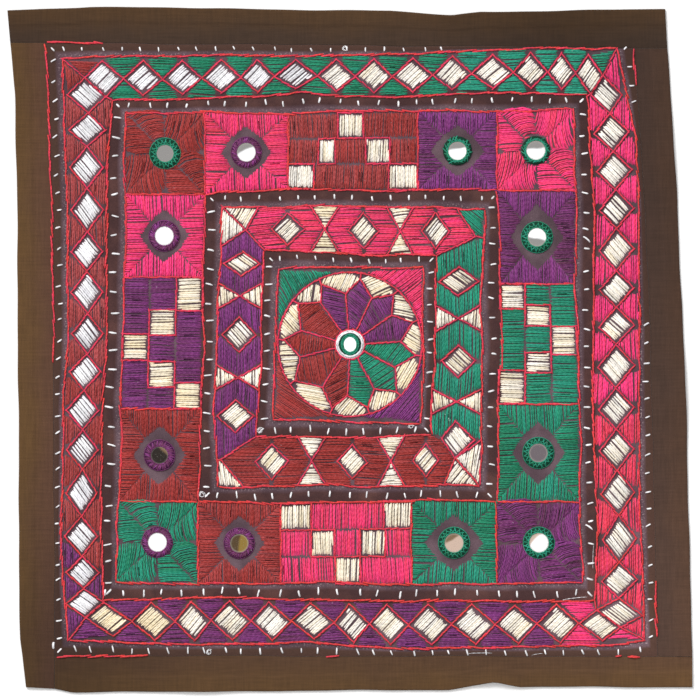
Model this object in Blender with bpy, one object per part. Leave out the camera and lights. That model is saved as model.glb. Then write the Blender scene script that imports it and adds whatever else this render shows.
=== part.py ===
"""Embroidered tablecloth: a square of dark cotton worked all over in satin stitch, with thirteen
small round mirrors, and four plain cotton strips sewn round it. It lies flat, face up.

Metres, +Z up. The origin is under the middle of the cloth, on the surface that it lies on.
Tables are in millimetres: x to the right and y to the top of the cloth as it is seen.
"""

import math
from collections import namedtuple

import bmesh
import bpy
import numpy as np
from mathutils.geometry import delaunay_2d_cdt

MM = 0.001

# Heights over the surface, and the gaps between pieces
GROUND_TOP = 1.2
STITCH_TOP = 1.9
CROWN = 0.25
PIECE_GAP = 0.3
LINE_HALF_WIDTH = 0.4
SLOPE_WIDTH = 0.5

# Limits of an outline that is moved inwards: edges under this length are left out, a sharp corner
# moves at most this much further, and a patch that keeps less than this share of its area is flat
SHORTEST_EDGE = 0.05
SHARPEST_MITRE = 0.35
SMALLEST_SHARE = 0.25

# The panel's triangles: those inside its outline, with points merged that are closer than this
INSIDE_OUTLINE = 1
MERGE_DISTANCE = 1e-5

# Border strips: thickness at the turned hem, in the middle and at the pressed seam
HEM_THICK = 1.7
STRIP_THICK = 1.3
SEAM_THICK = 1.1
HEM_WIDTH = 9.0
HEM_STEP = 1.5
EDGE_ROUND = 0.6
SEAM_WIDTH = 5.0
STRIP_STEPS = 26

# Mirrors and the thread rings that hold them
MIRROR_RADIUS = 7.0
MIRROR_THICK = 0.8
MIRROR_CHAMFER = 0.15
MIRROR_SIDES = 16
RING_OUTER = 9.6
RING_CROWN_RADIUS = 7.6
RING_INNER = 5.5
RING_HEIGHT = 1.7
RING_SHOULDER = 0.5
RING_SHOULDER_SHARE = 0.7
RING_LIP = 0.15
RING_SIDES = 16
SMOOTH_ANGLE = 50.0
CENTRE_RING_OUTER = 8.9

SIDES = ("top", "right", "bottom", "left")
CORNERS = ("top_left", "top_right", "bottom_right", "bottom_left")

# The square lines of the design, outermost first, by the corners in the order of CORNERS
Square = namedtuple("Square", "top_left top_right bottom_right bottom_left waver")
SQUARES = {
    "edge": Square((-212.5, 210.5), (195.5, 211.5), (212.5, -209.0), (-201.0, -209.0), 0.3),
    "seam": Square((-188.5, 190.5), (175.0, 187.5), (190.5, -190.0), (-183.0, -189.5), 0.4),
    "band_outer": Square((-178.5, 181.5), (166.0, 187.0), (182.5, -179.5), (-174.5, -180.0), 1.0),
    "band_inner": Square((-148.0, 155.0), (147.0, 158.0), (152.0, -155.5), (-153.0, -155.0), 1.0),
    "blocks_outer": Square((-139.0, 146.5), (138.5, 149.0), (144.0, -145.0), (-145.0, -144.5), 1.0),
    "blocks_inner": Square((-89.5, 96.5), (92.0, 99.0), (91.0, -93.5), (-93.5, -95.0), 1.0),
    "frieze_outer": Square((-80.0, 89.5), (83.0, 88.0), (80.5, -83.5), (-82.5, -85.0), 1.0),
    "frieze_inner": Square((-53.0, 61.5), (53.5, 58.5), (51.0, -53.5), (-58.0, -53.0), 1.0),
    "centre": Square((-45.0, 51.0), (45.5, 51.0), (43.5, -45.5), (-47.5, -43.5), 0.6),
}

# Where a side leaves the straight line between its corners: a place along it, and how far outwards
Bow = namedtuple("Bow", "square side along out")
BOWS = (
    Bow("edge", "top", -161.0, 2.3),
    Bow("edge", "top", 25.0, -0.8),
    Bow("edge", "top", 63.0, -3.7),
    Bow("edge", "top", 81.0, -1.5),
    Bow("edge", "right", 92.0, 2.6),
    Bow("edge", "right", -31.0, 3.1),
    Bow("edge", "bottom", -186.0, 0.4),
    Bow("edge", "bottom", -172.0, 3.4),
    Bow("edge", "bottom", 62.0, 1.7),
    Bow("edge", "bottom", 90.0, -3.0),
    Bow("edge", "bottom", 105.0, 0.0),
    Bow("edge", "left", 158.0, -3.5),
    Bow("edge", "left", 77.0, -2.5),
    Bow("edge", "left", -180.0, 3.0),
    Bow("seam", "right", 130.0, 3.3),
    Bow("seam", "right", 6.0, 4.0),
    Bow("seam", "left", 77.0, -2.6),
    Bow("band_outer", "right", 128.0, 9.0),
    Bow("band_outer", "right", 14.0, 5.3),
    Bow("band_outer", "bottom", 62.0, 5.4),
    Bow("band_outer", "left", 6.0, -2.2),
    Bow("band_outer", "left", -101.0, 4.3),
    Bow("band_inner", "top", -25.0, 2.6),
    Bow("band_inner", "right", 88.0, 3.6),
    Bow("band_inner", "left", -31.0, 1.9),
    Bow("blocks_outer", "left", 18.0, -1.5),
    Bow("blocks_inner", "top", -38.0, 2.2),
    Bow("blocks_inner", "right", -2.0, 2.4),
    Bow("frieze_outer", "left", -48.0, 2.0),
    Bow("frieze_inner", "bottom", -2.0, 1.0),
    Bow("centre", "right", -12.0, 1.2),
)

# A hand-stitched line wavers: size and wave length of each waver
Waver = namedtuple("Waver", "size length")
WAVERS = (Waver(0.6, 138.0), Waver(0.45, 71.0), Waver(0.3, 37.0))
WAVER_SHIFT = 2.4

# Low ripples of the border strips: they lift the outer edge, and die out at the seam
Ripple = namedtuple("Ripple", "side along width lift")
RIPPLES = (
    Ripple("top", 63.0, 15.0, 2.2),
    Ripple("top", -150.0, 20.0, 1.4),
    Ripple("right", 122.0, 17.0, 1.3),
    Ripple("right", -24.0, 22.0, 1.7),
    Ripple("bottom", 91.0, 13.0, 2.4),
    Ripple("bottom", -92.0, 18.0, 1.2),
    Ripple("left", 150.0, 16.0, 1.6),
    Ripple("left", -62.0, 20.0, 1.3),
)

# Outer band: a chain of diamonds on each side, between the tilted ones at the corners
Chain = namedtuple("Chain", "side first last diamonds swell")
CHAINS = (
    Chain("top", -140.5, 140.0, 12, 0.05),
    Chain("right", -154.0, 146.5, 12, 0.07),
    Chain("bottom", -135.5, 142.0, 11, -0.03),
    Chain("left", -148.0, 147.0, 12, 0.0),
)
DIAMOND_MARGIN = 0.08
PAD_SHARE = 0.70
CORNER_DIAMOND_START = 0.48
CORNER_DIAMOND_END = 0.93

# Ring of blocks: the two walls that part each side into block, chequer, block
Walls = namedtuple("Walls", "side first last")
BLOCK_WALLS = (
    Walls("top", -38.5, 42.0),
    Walls("right", -33.5, 41.0),
    Walls("bottom", -43.0, 38.0),
    Walls("left", -36.5, 45.0),
)
MOAT_HALF = 15.5
CHEQUER_COLUMNS = 5
CHEQUER_ROWS = 3

# Inner frieze: diamonds and crosses along each side
Motif = namedtuple("Motif", "side along kind half_length")
FRIEZE = (
    Motif("top", -38.5, "diamond", 10.2),
    Motif("top", -15.5, "cross", 9.0),
    Motif("top", 8.5, "diamond", 9.3),
    Motif("top", 31.0, "cross", 8.2),
    Motif("top", 53.0, "diamond", 8.7),
    Motif("right", -32.0, "cross", 7.8),
    Motif("right", -7.0, "diamond", 10.0),
    Motif("right", 19.5, "cross", 8.2),
    Motif("right", 42.5, "diamond", 9.0),
    Motif("bottom", -48.5, "diamond", 10.2),
    Motif("bottom", -24.0, "cross", 8.6),
    Motif("bottom", 1.5, "diamond", 9.4),
    Motif("bottom", 25.5, "cross", 8.6),
    Motif("bottom", 47.0, "diamond", 8.2),
    Motif("left", -41.0, "diamond", 10.0),
    Motif("left", -17.0, "cross", 7.8),
    Motif("left", 9.5, "diamond", 11.0),
    Motif("left", 33.5, "cross", 8.0),
    Motif("left", 53.5, "diamond", 7.4),
)

# Where the frieze's fillings end at its corners, as shares of the corner square that lies between
# the outer corner (0, 0) and the inner corner (1, 1): the knot that the lines meet in, and where
# the filling of the side beside it starts on the outer line
CornerKnot = namedtuple("CornerKnot", "corner knot along_level along_upright")
CORNER_KNOTS = (
    CornerKnot("top_left", (0.57, 0.53), 0.87, 0.90),
    CornerKnot("top_right", (0.19, 0.60), 0.60, 0.62),
    CornerKnot("bottom_right", (0.50, 0.54), 0.74, 0.90),
    CornerKnot("bottom_left", (0.06, 0.54), 0.70, 0.54),
)

# Corners whose outer part is split by the diagonal, and the leaning diamond of the lower right
# one: its upper, right and left tip as shares of the corner square, its lower tip is the knot
SPLIT_CORNERS = ("top_left", "bottom_right")
TILTED_DIAMOND = ((0.50, 1.27), (0.10, 0.90), (0.79, 0.93))

# Centre flower: eleven petals, by the angle of the tip and of the notch that follows it
FLOWER_CENTRE = (0.0, 3.5)
FLOWER_RADIUS = 44.8
NOTCH_RADIUS = 31.6
PETAL_TIP_RADIUS = 41.0
CORNER_ANGLES = (135.0, 45.0, -45.0, -135.0)
CORNER_FILL_SPREAD = 42.0
CORNER_FILL_STEPS = 6
Petal = namedtuple("Petal", "tip notch")
PETALS = (
    Petal(115.5, 95.0),
    Petal(81.0, 65.0),
    Petal(48.5, 35.0),
    Petal(19.5, 3.0),
    Petal(-9.5, -27.0),
    Petal(-45.5, -61.5),
    Petal(-74.5, -92.5),
    Petal(-105.5, -123.0),
    Petal(-146.5, -165.5),
    Petal(-184.0, -195.5),
    Petal(-218.0, -235.0),
)

# Colour and finish of each material
Finish = namedtuple("Finish", "colour roughness metallic")
FINISHES = {
    "ground": Finish((0.095, 0.035, 0.030), 0.9, 0.0),
    "border": Finish((0.055, 0.040, 0.028), 0.9, 0.0),
    "mirror": Finish((0.80, 0.80, 0.78), 0.08, 1.0),
    "ring_green": Finish((0.010, 0.220, 0.130), 0.6, 0.0),
    "ring_purple": Finish((0.140, 0.020, 0.180), 0.6, 0.0),
}

# The mirrors by the block that each sits in the middle of, and the thread of its ring
Mirror = namedtuple("Mirror", "block thread")
MIRRORS = (
    Mirror("top_left", "ring_green"),
    Mirror("top_low", "ring_purple"),
    Mirror("top_high", "ring_green"),
    Mirror("top_right", "ring_green"),
    Mirror("right_high", "ring_green"),
    Mirror("right_low", "ring_green"),
    Mirror("bottom_right", "ring_green"),
    Mirror("bottom_high", "ring_green"),
    Mirror("bottom_low", "ring_purple"),
    Mirror("bottom_left", "ring_purple"),
    Mirror("left_low", "ring_purple"),
    Mirror("left_high", "ring_purple"),
    Mirror("flower", "ring_green"),
)


def blend(a, b, share):
    """The point that share of the way from a to b."""
    return (a[0] + (b[0] - a[0]) * share, a[1] + (b[1] - a[1]) * share)


def middle_of(points):
    return (sum(p[0] for p in points) / len(points), sum(p[1] for p in points) / len(points))


def outwards(side):
    """+1 where outwards is the way that its coordinate grows, else -1."""
    return 1 if side in ("top", "right") else -1


def end_corners(side):
    """The names of a side's corners, low end first."""
    return {
        "top": ("top_left", "top_right"),
        "right": ("bottom_right", "top_right"),
        "bottom": ("bottom_left", "bottom_right"),
        "left": ("bottom_left", "top_left"),
    }[side]


def side_ends(square, side):
    """The two corners of a side, low end first, as (along, across)."""
    ends = [getattr(SQUARES[square], corner) for corner in end_corners(side)]
    return [p if side in ("top", "bottom") else (p[1], p[0]) for p in ends]


def across(square, side, along):
    """How far out a square's side runs at a place along it, with its bows and its waver."""
    (a0, c0), (a1, c1) = side_ends(square, side)
    straight = c0 + (c1 - c0) * (along - a0) / (a1 - a0)
    bows = sorted((b.along, b.out) for b in BOWS if (b.square, b.side) == (square, side))
    places = [a0] + [b[0] for b in bows] + [a1]
    outs = [0.0] + [b[1] for b in bows] + [0.0]
    out = np.interp(along, places, outs)
    number = list(SQUARES).index(square) * len(SIDES) + SIDES.index(side)
    for k, w in enumerate(WAVERS):
        turn = along / w.length * math.tau + WAVER_SHIFT * number * (k + 1) + k
        out += SQUARES[square].waver * w.size * math.sin(turn)
    return straight + outwards(side) * out


def spot(side, along, out):
    """The point with that place along a side and that place across it."""
    return (along, out) if side in ("top", "bottom") else (out, along)


def in_band(outer, inner, side, along, share):
    """A point in the band between two squares, share of the way from the outer to the inner."""
    out = across(outer, side, along)
    return spot(side, along, out + (across(inner, side, along) - out) * share)


def corner_of(square, corner):
    """Where two wavering sides of a square meet."""
    x, y = getattr(SQUARES[square], corner)
    for _ in range(2):
        x, y = (
            across(square, "left" if "left" in corner else "right", y),
            across(square, "top" if "top" in corner else "bottom", x),
        )
    return (x, y)


def sides_of_corner(corner):
    """The level side and the upright side that meet in a corner."""
    return corner.split("_")


def side_line(square, side, steps):
    """Points along a side, corner to corner, low end first."""
    start, end = [corner_of(square, corner) for corner in end_corners(side)]
    axis = 0 if side in ("top", "bottom") else 1
    stops = np.linspace(start[axis], end[axis], steps + 1)[1:-1]
    return [start] + [spot(side, a, across(square, side, a)) for a in stops] + [end]


def shrunk(outline, share):
    """An outline made smaller about its middle."""
    centre = middle_of(outline)
    return [blend(centre, p, share) for p in outline]


def chain_crossings(chain):
    """Where the diamonds of a chain touch, along its side."""
    for k in range(chain.diamonds + 1):
        t = k / chain.diamonds
        yield chain.first + (chain.last - chain.first) * (t + chain.swell * t * (1 - t))


def outer_band_patches():
    """Diamond pads and the triangles between them, on all sides of the outer band."""
    band = ("band_outer", "band_inner")
    low, high = DIAMOND_MARGIN, 1 - DIAMOND_MARGIN
    patches = []
    for chain in CHAINS:
        ends = list(chain_crossings(chain))
        tips = [(a + b) / 2 for a, b in zip(ends, ends[1:])]
        knots = [in_band(*band, chain.side, a, 0.5) for a in ends]
        for a, b, tip in zip(knots, knots[1:], tips):
            outer_tip = in_band(*band, chain.side, tip, low)
            inner_tip = in_band(*band, chain.side, tip, high)
            patches.append(shrunk([a, outer_tip, b, inner_tip], PAD_SHARE))
        for share in (0.0, 1.0):
            margin = low if share == 0.0 else high
            for knot, a, b in zip(knots[1:-1], tips, tips[1:]):
                patches.append([
                    knot,
                    in_band(*band, chain.side, a, margin),
                    in_band(*band, chain.side, a, share),
                    in_band(*band, chain.side, b, share),
                    in_band(*band, chain.side, b, margin),
                ])
    for corner in CORNERS:
        patches += outer_corner_patches(corner)
    return patches


def outer_corner_patches(corner):
    """The two tilted diamonds beside a corner's diagonal, and the triangles round them."""
    outer, inner = corner_of("band_outer", corner), corner_of("band_inner", corner)
    start = blend(outer, inner, CORNER_DIAMOND_START)
    end = blend(outer, inner, CORNER_DIAMOND_END)
    patches = []
    for side in sides_of_corner(corner):
        chain = next(c for c in CHAINS if c.side == side)
        ends = list(chain_crossings(chain))
        at_low_end = corner == end_corners(side)[0]
        crossing, next_one = (ends[0], ends[1]) if at_low_end else (ends[-1], ends[-2])
        knot = in_band("band_outer", "band_inner", side, crossing, 0.5)
        outer_tip = (start[0] + knot[0] - end[0], start[1] + knot[1] - end[1])
        patches.append(shrunk([start, outer_tip, knot, end], PAD_SHARE))
        patches.append([outer, outer_tip, start])
        tip = (crossing + next_one) / 2
        for share, near in ((0.0, outer_tip), (1.0, end)):
            margin = DIAMOND_MARGIN if share == 0.0 else 1 - DIAMOND_MARGIN
            far = in_band("band_outer", "band_inner", side, tip, margin)
            base = in_band("band_outer", "band_inner", side, tip, share)
            patches.append([knot, near, base, far])
    return patches


def block_corners():
    """The outline of every block of the ring, by name, clockwise from its outer low corner."""
    blocks = {}
    for corner in CORNERS:
        level, upright = sides_of_corner(corner)
        outer, inner = corner_of("blocks_outer", corner), corner_of("blocks_inner", corner)
        blocks[corner] = [
            outer,
            spot(level, inner[0], across("blocks_outer", level, inner[0])),
            inner,
            spot(upright, inner[1], across("blocks_outer", upright, inner[1])),
        ]
    for walls in BLOCK_WALLS:
        low, high = side_line("blocks_inner", walls.side, 1)
        axis = 0 if walls.side in ("top", "bottom") else 1
        stops = [low[axis], walls.first, walls.last, high[axis]]
        for name, a, b in zip(("low", "chequer", "high"), stops, stops[1:]):
            blocks[walls.side + "_" + name] = [
                in_band("blocks_outer", "blocks_inner", walls.side, along, share)
                for along, share in ((a, 0.0), (b, 0.0), (b, 1.0), (a, 1.0))
            ]
    return blocks


def in_block(block, u, v):
    """A point in a four-cornered block: u along its outer edge, v from the outer to the inner."""
    return blend(blend(block[0], block[1], u), blend(block[3], block[2], u), v)


def chequer_patches(block):
    """The cells of a chequer, three rows of five."""
    patches = []
    for row in range(CHEQUER_ROWS):
        for column in range(CHEQUER_COLUMNS):
            u0, u1 = column / CHEQUER_COLUMNS, (column + 1) / CHEQUER_COLUMNS
            v0, v1 = row / CHEQUER_ROWS, (row + 1) / CHEQUER_ROWS
            patches.append([in_block(block, u, v) for u, v in ((u0, v0), (u1, v0), (u1, v1), (u0, v1))])
    return patches


def mitred_patches(block):
    """Four mitred fillings round the bare diamond that a mirror sits in."""
    centre = middle_of(block)
    edges = [middle_of([a, b]) for a, b in zip(block, block[1:] + block[:1])]
    points = []
    for edge in edges:
        far = math.dist(centre, edge)
        points.append(blend(centre, edge, MOAT_HALF / far))
    patches = []
    for k in range(4):
        a, b = block[k], block[(k + 1) % 4]
        before = middle_of([points[k - 1], points[k]])
        after = middle_of([points[k], points[(k + 1) % 4]])
        patches.append([a, b, after, points[k], before])
    return patches


def leaf_patches(block):
    """Four quarters of a corner block, each with its inner corner taken up by the mirror's ring."""
    centre = middle_of(block)
    clear = RING_OUTER + PIECE_GAP
    edges = [middle_of([a, b]) for a, b in zip(block, block[1:] + block[:1])]
    patches = []
    for k in range(4):
        before, after = edges[k - 1], edges[k]
        arc = []
        for p in (after, block[k], before):
            arc.append(blend(centre, p, clear / math.dist(centre, p)))
        patches.append([before, block[k], after] + arc)
    return patches


def block_patches():
    patches = []
    for name, block in block_corners().items():
        if name in CORNERS:
            patches += leaf_patches(block)
        elif name.endswith("chequer"):
            patches += chequer_patches(block)
        else:
            patches += mitred_patches(block)
    return patches


def frieze_knot(corner):
    """The knot of a frieze corner and the two places on the outer line that run to it."""
    row = next(k for k in CORNER_KNOTS if k.corner == corner)
    outer, inner = corner_of("frieze_outer", corner), corner_of("frieze_inner", corner)
    level, upright = sides_of_corner(corner)
    knot = (
        outer[0] + (inner[0] - outer[0]) * row.knot[0],
        outer[1] + (inner[1] - outer[1]) * row.knot[1],
    )
    x = outer[0] + (inner[0] - outer[0]) * row.along_level
    y = outer[1] + (inner[1] - outer[1]) * row.along_upright
    on_level = spot(level, x, across("frieze_outer", level, x))
    on_upright = spot(upright, y, across("frieze_outer", upright, y))
    return outer, inner, knot, on_level, on_upright


def frieze_patches():
    """Pads, cream wedges of the crosses, and the halves of filling between them."""
    band = ("frieze_outer", "frieze_inner")
    low, high = DIAMOND_MARGIN, 1 - DIAMOND_MARGIN
    patches = []
    for side in SIDES:
        motifs = sorted((m for m in FRIEZE if m.side == side), key=lambda m: m.along)
        for m in motifs:
            left = in_band(*band, side, m.along - m.half_length, 0.5)
            right = in_band(*band, side, m.along + m.half_length, 0.5)
            if m.kind == "diamond":
                outer_tip = in_band(*band, side, m.along, low)
                inner_tip = in_band(*band, side, m.along, high)
                patches.append(shrunk([left, outer_tip, right, inner_tip], PAD_SHARE))
            else:
                knot = in_band(*band, side, m.along, 0.5)
                for share in (0.0, 1.0):
                    a = in_band(*band, side, m.along - m.half_length, share)
                    b = in_band(*band, side, m.along + m.half_length, share)
                    patches.append([knot, a, b])
        patches += frieze_fillings(side, motifs)
    for corner in CORNERS:
        outer, _, knot, on_level, on_upright = frieze_knot(corner)
        if corner in SPLIT_CORNERS:
            patches += [[outer, on_level, knot], [outer, knot, on_upright]]
        else:
            patches.append([outer, on_level, knot, on_upright])
    return patches + tilted_diamond_patches()


def frieze_fillings(side, motifs):
    """A filling on each side of a diamond, as far as the next cross or the knot of the corner."""
    band = ("frieze_outer", "frieze_inner")
    crosses = [m for m in motifs if m.kind == "cross"]
    patches = []
    for m in motifs:
        if m.kind != "diamond":
            continue
        for way in (-1, 1):
            beyond = [c for c in crosses if (c.along - m.along) * way > 0]
            if beyond:
                c = min(beyond, key=lambda row: abs(row.along - m.along))
                arm = c.along - way * c.half_length
                knot = in_band(*band, side, c.along, 0.5)
                outer_end = in_band(*band, side, arm, 0.0)
                inner_end = in_band(*band, side, arm, 1.0)
            else:
                corner = end_corners(side)[0 if way < 0 else 1]
                _, inner_end, knot, on_level, on_upright = frieze_knot(corner)
                outer_end = on_level if side in ("top", "bottom") else on_upright
            patches.append([
                in_band(*band, side, m.along, DIAMOND_MARGIN),
                in_band(*band, side, m.along, 0.0),
                outer_end,
                knot,
                inner_end,
                in_band(*band, side, m.along, 1.0),
                in_band(*band, side, m.along, 1 - DIAMOND_MARGIN),
                in_band(*band, side, m.along + way * m.half_length, 0.5),
            ])
    return patches


def tilted_diamond_patches():
    """The pad that leans in the frieze's lower right corner, and the filling above it."""
    band = ("frieze_outer", "frieze_inner")
    outer, inner, knot, _, on_upright = frieze_knot("bottom_right")
    tips = []
    for u, v in TILTED_DIAMOND:
        tips.append((outer[0] + (inner[0] - outer[0]) * u, outer[1] + (inner[1] - outer[1]) * v))
    top, right, left = tips
    cross = min((m for m in FRIEZE if m.side == "right"), key=lambda m: m.along)
    arm = cross.along - cross.half_length
    filling = [
        in_band(*band, "right", cross.along, 0.5),
        in_band(*band, "right", arm, 0.0),
        on_upright,
        right,
        top,
        left,
        inner,
        in_band(*band, "right", arm, 1.0),
    ]
    return [shrunk([top, right, knot, left], PAD_SHARE), filling]


def polar(angle, radius):
    """A point round the middle of the flower."""
    turn = math.radians(angle)
    return (FLOWER_CENTRE[0] + radius * math.cos(turn), FLOWER_CENTRE[1] + radius * math.sin(turn))


def centre_patches():
    """Petals, the cream gaps between them, and the four corners outside the circle."""
    patches = []
    core = CENTRE_RING_OUTER + PIECE_GAP
    for k, petal in enumerate(PETALS):
        before = PETALS[k - 1].notch + (360.0 if k == 0 else 0.0)
        following = PETALS[(k + 1) % len(PETALS)].tip - (360.0 if k == len(PETALS) - 1 else 0.0)
        patches.append([
            polar(before, core),
            polar(before, NOTCH_RADIUS),
            polar(petal.tip, PETAL_TIP_RADIUS),
            polar(petal.notch, NOTCH_RADIUS),
            polar(petal.notch, core),
            polar(petal.tip, core),
        ])
        patches.append([
            polar(petal.notch, NOTCH_RADIUS),
            polar(petal.tip, PETAL_TIP_RADIUS),
            polar((petal.tip + following) / 2, FLOWER_RADIUS),
            polar(following, PETAL_TIP_RADIUS),
        ])
    for corner, middle_angle in zip(CORNERS, CORNER_ANGLES):
        spread = np.linspace(-CORNER_FILL_SPREAD, CORNER_FILL_SPREAD, CORNER_FILL_STEPS + 1)
        arc = [polar(middle_angle + a, FLOWER_RADIUS) for a in spread]
        patches.append([corner_of("centre", corner)] + arc)
    return patches


def area(outline):
    pairs = zip(outline, outline[1:] + outline[:1])
    return sum(a[0] * b[1] - b[0] * a[1] for a, b in pairs) / 2


def inset(outline, depth):
    """An outline moved inwards by depth on every side, or None where nothing is left of it."""
    loop = list(outline) if area(outline) > 0 else list(outline)[::-1]
    points = []
    for before, here, after in zip(loop[-1:] + loop[:-1], loop, loop[1:] + loop[:1]):
        a = np.subtract(here, before)
        b = np.subtract(after, here)
        if min(np.hypot(*a), np.hypot(*b)) < SHORTEST_EDGE:
            continue
        a, b = a / np.hypot(*a), b / np.hypot(*b)
        normal = np.array((-a[1] - b[1], a[0] + b[0]))
        size = np.hypot(*normal)
        reach = depth / max(size / 2, SHARPEST_MITRE)
        points.append(tuple(np.add(here, normal / size * reach)))
    if len(points) < 3 or area(points) < SMALLEST_SHARE * area(loop):
        return None
    return points


class Relief:
    """The panel's top face: its points with their heights, and the edges that stay in it."""

    def __init__(self):
        self.points = []
        self.heights = []
        self.edges = []

    def loop(self, outline, height):
        first = len(self.points)
        count = len(outline)
        self.points += outline
        self.heights += [height] * count
        self.edges += [(first + k, first + (k + 1) % count) for k in range(count)]

    def patch(self, outline):
        """A low pad of stitches with sloping sides and a slight crown."""
        foot = inset(outline, LINE_HALF_WIDTH)
        shoulder = inset(outline, LINE_HALF_WIDTH + SLOPE_WIDTH)
        if foot is None or shoulder is None or len(foot) != len(shoulder):
            return
        self.loop(foot, GROUND_TOP)
        self.loop(shoulder, STITCH_TOP)
        self.points.append(middle_of(shoulder))
        self.heights.append(STITCH_TOP + CROWN)


def seam_line(side):
    return side_line("seam", side, STRIP_STEPS)


def panel_outline():
    """The seam line all round, half a gap inside it."""
    line = seam_line("bottom")[:-1] + seam_line("right")[:-1]
    line += seam_line("top")[:0:-1] + seam_line("left")[:0:-1]
    return inset(line, PIECE_GAP / 2)


def mesh_object(name, bm, finish, smooth_angle=None):
    """An object from a bmesh in millimetres, with its own material."""
    bmesh.ops.scale(bm, vec=(MM, MM, MM), verts=bm.verts)
    bmesh.ops.recalc_face_normals(bm, faces=bm.faces)
    mesh = bpy.data.meshes.new(name)
    bm.to_mesh(mesh)
    bm.free()
    if smooth_angle is not None:
        mesh.shade_smooth()
        mesh.set_sharp_from_angle(angle=smooth_angle)
    mesh.materials.append(material(finish))
    obj = bpy.data.objects.new(name, mesh)
    bpy.context.collection.objects.link(obj)
    return obj


def material(name):
    made = bpy.data.materials.get(name)
    if made is None:
        made = bpy.data.materials.new(name)
        made.use_nodes = True
        shader = made.node_tree.nodes["Principled BSDF"]
        finish = FINISHES[name]
        shader.inputs["Base Color"].default_value = (*finish.colour, 1.0)
        shader.inputs["Roughness"].default_value = finish.roughness
        shader.inputs["Metallic"].default_value = finish.metallic
    return made


def make_panel():
    relief = Relief()
    outline = panel_outline()
    relief.loop(outline, GROUND_TOP)
    for patch in outer_band_patches() + block_patches() + frieze_patches() + centre_patches():
        relief.patch(patch)
    points, _, faces, sources, _, _ = delaunay_2d_cdt(
        relief.points, relief.edges, [], INSIDE_OUTLINE, MERGE_DISTANCE
    )
    bm = bmesh.new()
    top = []
    for point, ids in zip(points, sources):
        height = relief.heights[ids[0]] if ids else GROUND_TOP
        top.append(bm.verts.new((point[0], point[1], height)))
    for face in faces:
        bm.faces.new([top[k] for k in face])
    rim = [edge for edge in bm.edges if edge.is_boundary]
    sides = bmesh.ops.extrude_edge_only(bm, edges=rim)["geom"]
    foot = [v for v in sides if isinstance(v, bmesh.types.BMVert)]
    for vert in foot:
        vert.co.z = 0.0
    bmesh.ops.contextual_create(bm, geom=[e for e in bm.edges if e.is_boundary])
    return mesh_object("panel", bm, "ground")


def lift(side, along, share):
    """How high a ripple carries a strip, share of the way from the seam to the outer edge."""
    total = 0.0
    for r in RIPPLES:
        if r.side == side:
            total += r.lift * math.exp(-(((along - r.along) / r.width) ** 2))
    return total * share ** 2


def strip_profile(width):
    """A strip's cross-section from the outer edge, as (distance from it, height)."""
    return (
        (EDGE_ROUND, 0.0),
        (0.0, HEM_THICK / 2),
        (EDGE_ROUND, HEM_THICK),
        (HEM_WIDTH, HEM_THICK),
        (HEM_WIDTH + HEM_STEP, STRIP_THICK),
        (width - SEAM_WIDTH, STRIP_THICK),
        (width, SEAM_THICK),
        (width, 0.0),
        (width - SEAM_WIDTH, 0.0),
        (HEM_WIDTH, 0.0),
    )


def strip_outlines():
    """The inner and the outer line of each border strip, point for point, low end first."""
    top_left, top_right = corner_of("seam", "top_left"), corner_of("seam", "top_right")
    bottom_left, bottom_right = corner_of("seam", "bottom_left"), corner_of("seam", "bottom_right")
    left_end = (across("edge", "left", top_left[1]), top_left[1])
    upper_right_end = (across("edge", "right", top_right[1]), top_right[1])
    lower_right_end = (across("edge", "right", bottom_right[1]), bottom_right[1])
    foot = (bottom_left[0], across("edge", "bottom", bottom_left[0]))
    ends = {
        "top": ([left_end], [upper_right_end], corner_of("edge", "top_left")[0],
                corner_of("edge", "top_right")[0]),
        "right": ([], [], lower_right_end[1], upper_right_end[1]),
        "bottom": ([], [lower_right_end], foot[0], corner_of("edge", "bottom_right")[0]),
        "left": ([foot], [], corner_of("edge", "bottom_left")[1], left_end[1]),
    }
    for side, (before, after, low, high) in ends.items():
        inner = before + side_line("seam", side, STRIP_STEPS) + after
        axis = 0 if side in ("top", "bottom") else 1
        span = inner[-1][axis] - inner[0][axis]
        stops = [low + (high - low) * (p[axis] - inner[0][axis]) / span for p in inner]
        outer = [spot(side, a, across("edge", side, a)) for a in stops]
        loop = inner + outer[::-1]
        loop = inset(loop, PIECE_GAP / 2)
        if area(inner + outer[::-1]) < 0:
            loop = loop[::-1]
        yield side, loop[: len(inner)], loop[len(inner):][::-1]


def make_strip(side, inner, outer):
    """A border strip, lofted across from its turned hem to its seam."""
    axis = 0 if side in ("top", "bottom") else 1
    bm = bmesh.new()
    rings = []
    for start, end in zip(outer, inner):
        width = math.dist(start, end)
        ring = []
        for distance, height in strip_profile(width):
            place = blend(start, end, distance / width)
            rise = lift(side, place[axis], 1 - distance / width)
            ring.append(bm.verts.new((*place, height + rise)))
        rings.append(ring)
    for here, following in zip(rings, rings[1:]):
        count = len(here)
        for k in range(count):
            n = (k + 1) % count
            bm.faces.new((here[k], here[n], following[n], following[k]))
    bm.faces.new(rings[0])
    bm.faces.new(rings[-1][::-1])
    return mesh_object("border_" + side, bm, "border")


def turned(name, profile, centre, sides, finish, closed):
    """A round piece: a profile of (radius, height) turned about a mirror's middle."""
    bm = bmesh.new()
    rings = []
    for radius, height in profile:
        ring = []
        for k in range(sides):
            turn = math.tau * k / sides
            x, y = centre[0] + radius * math.cos(turn), centre[1] + radius * math.sin(turn)
            ring.append(bm.verts.new((x, y, height)))
        rings.append(ring)
    following = rings[1:] + rings[:1] if closed else rings[1:]
    for low, high in zip(rings, following):
        for k in range(sides):
            n = (k + 1) % sides
            bm.faces.new((low[k], low[n], high[n], high[k]))
    if not closed:
        bm.faces.new(rings[0][::-1])
        bm.faces.new(rings[-1])
    return mesh_object(name, bm, finish, smooth_angle=math.radians(SMOOTH_ANGLE))


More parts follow.
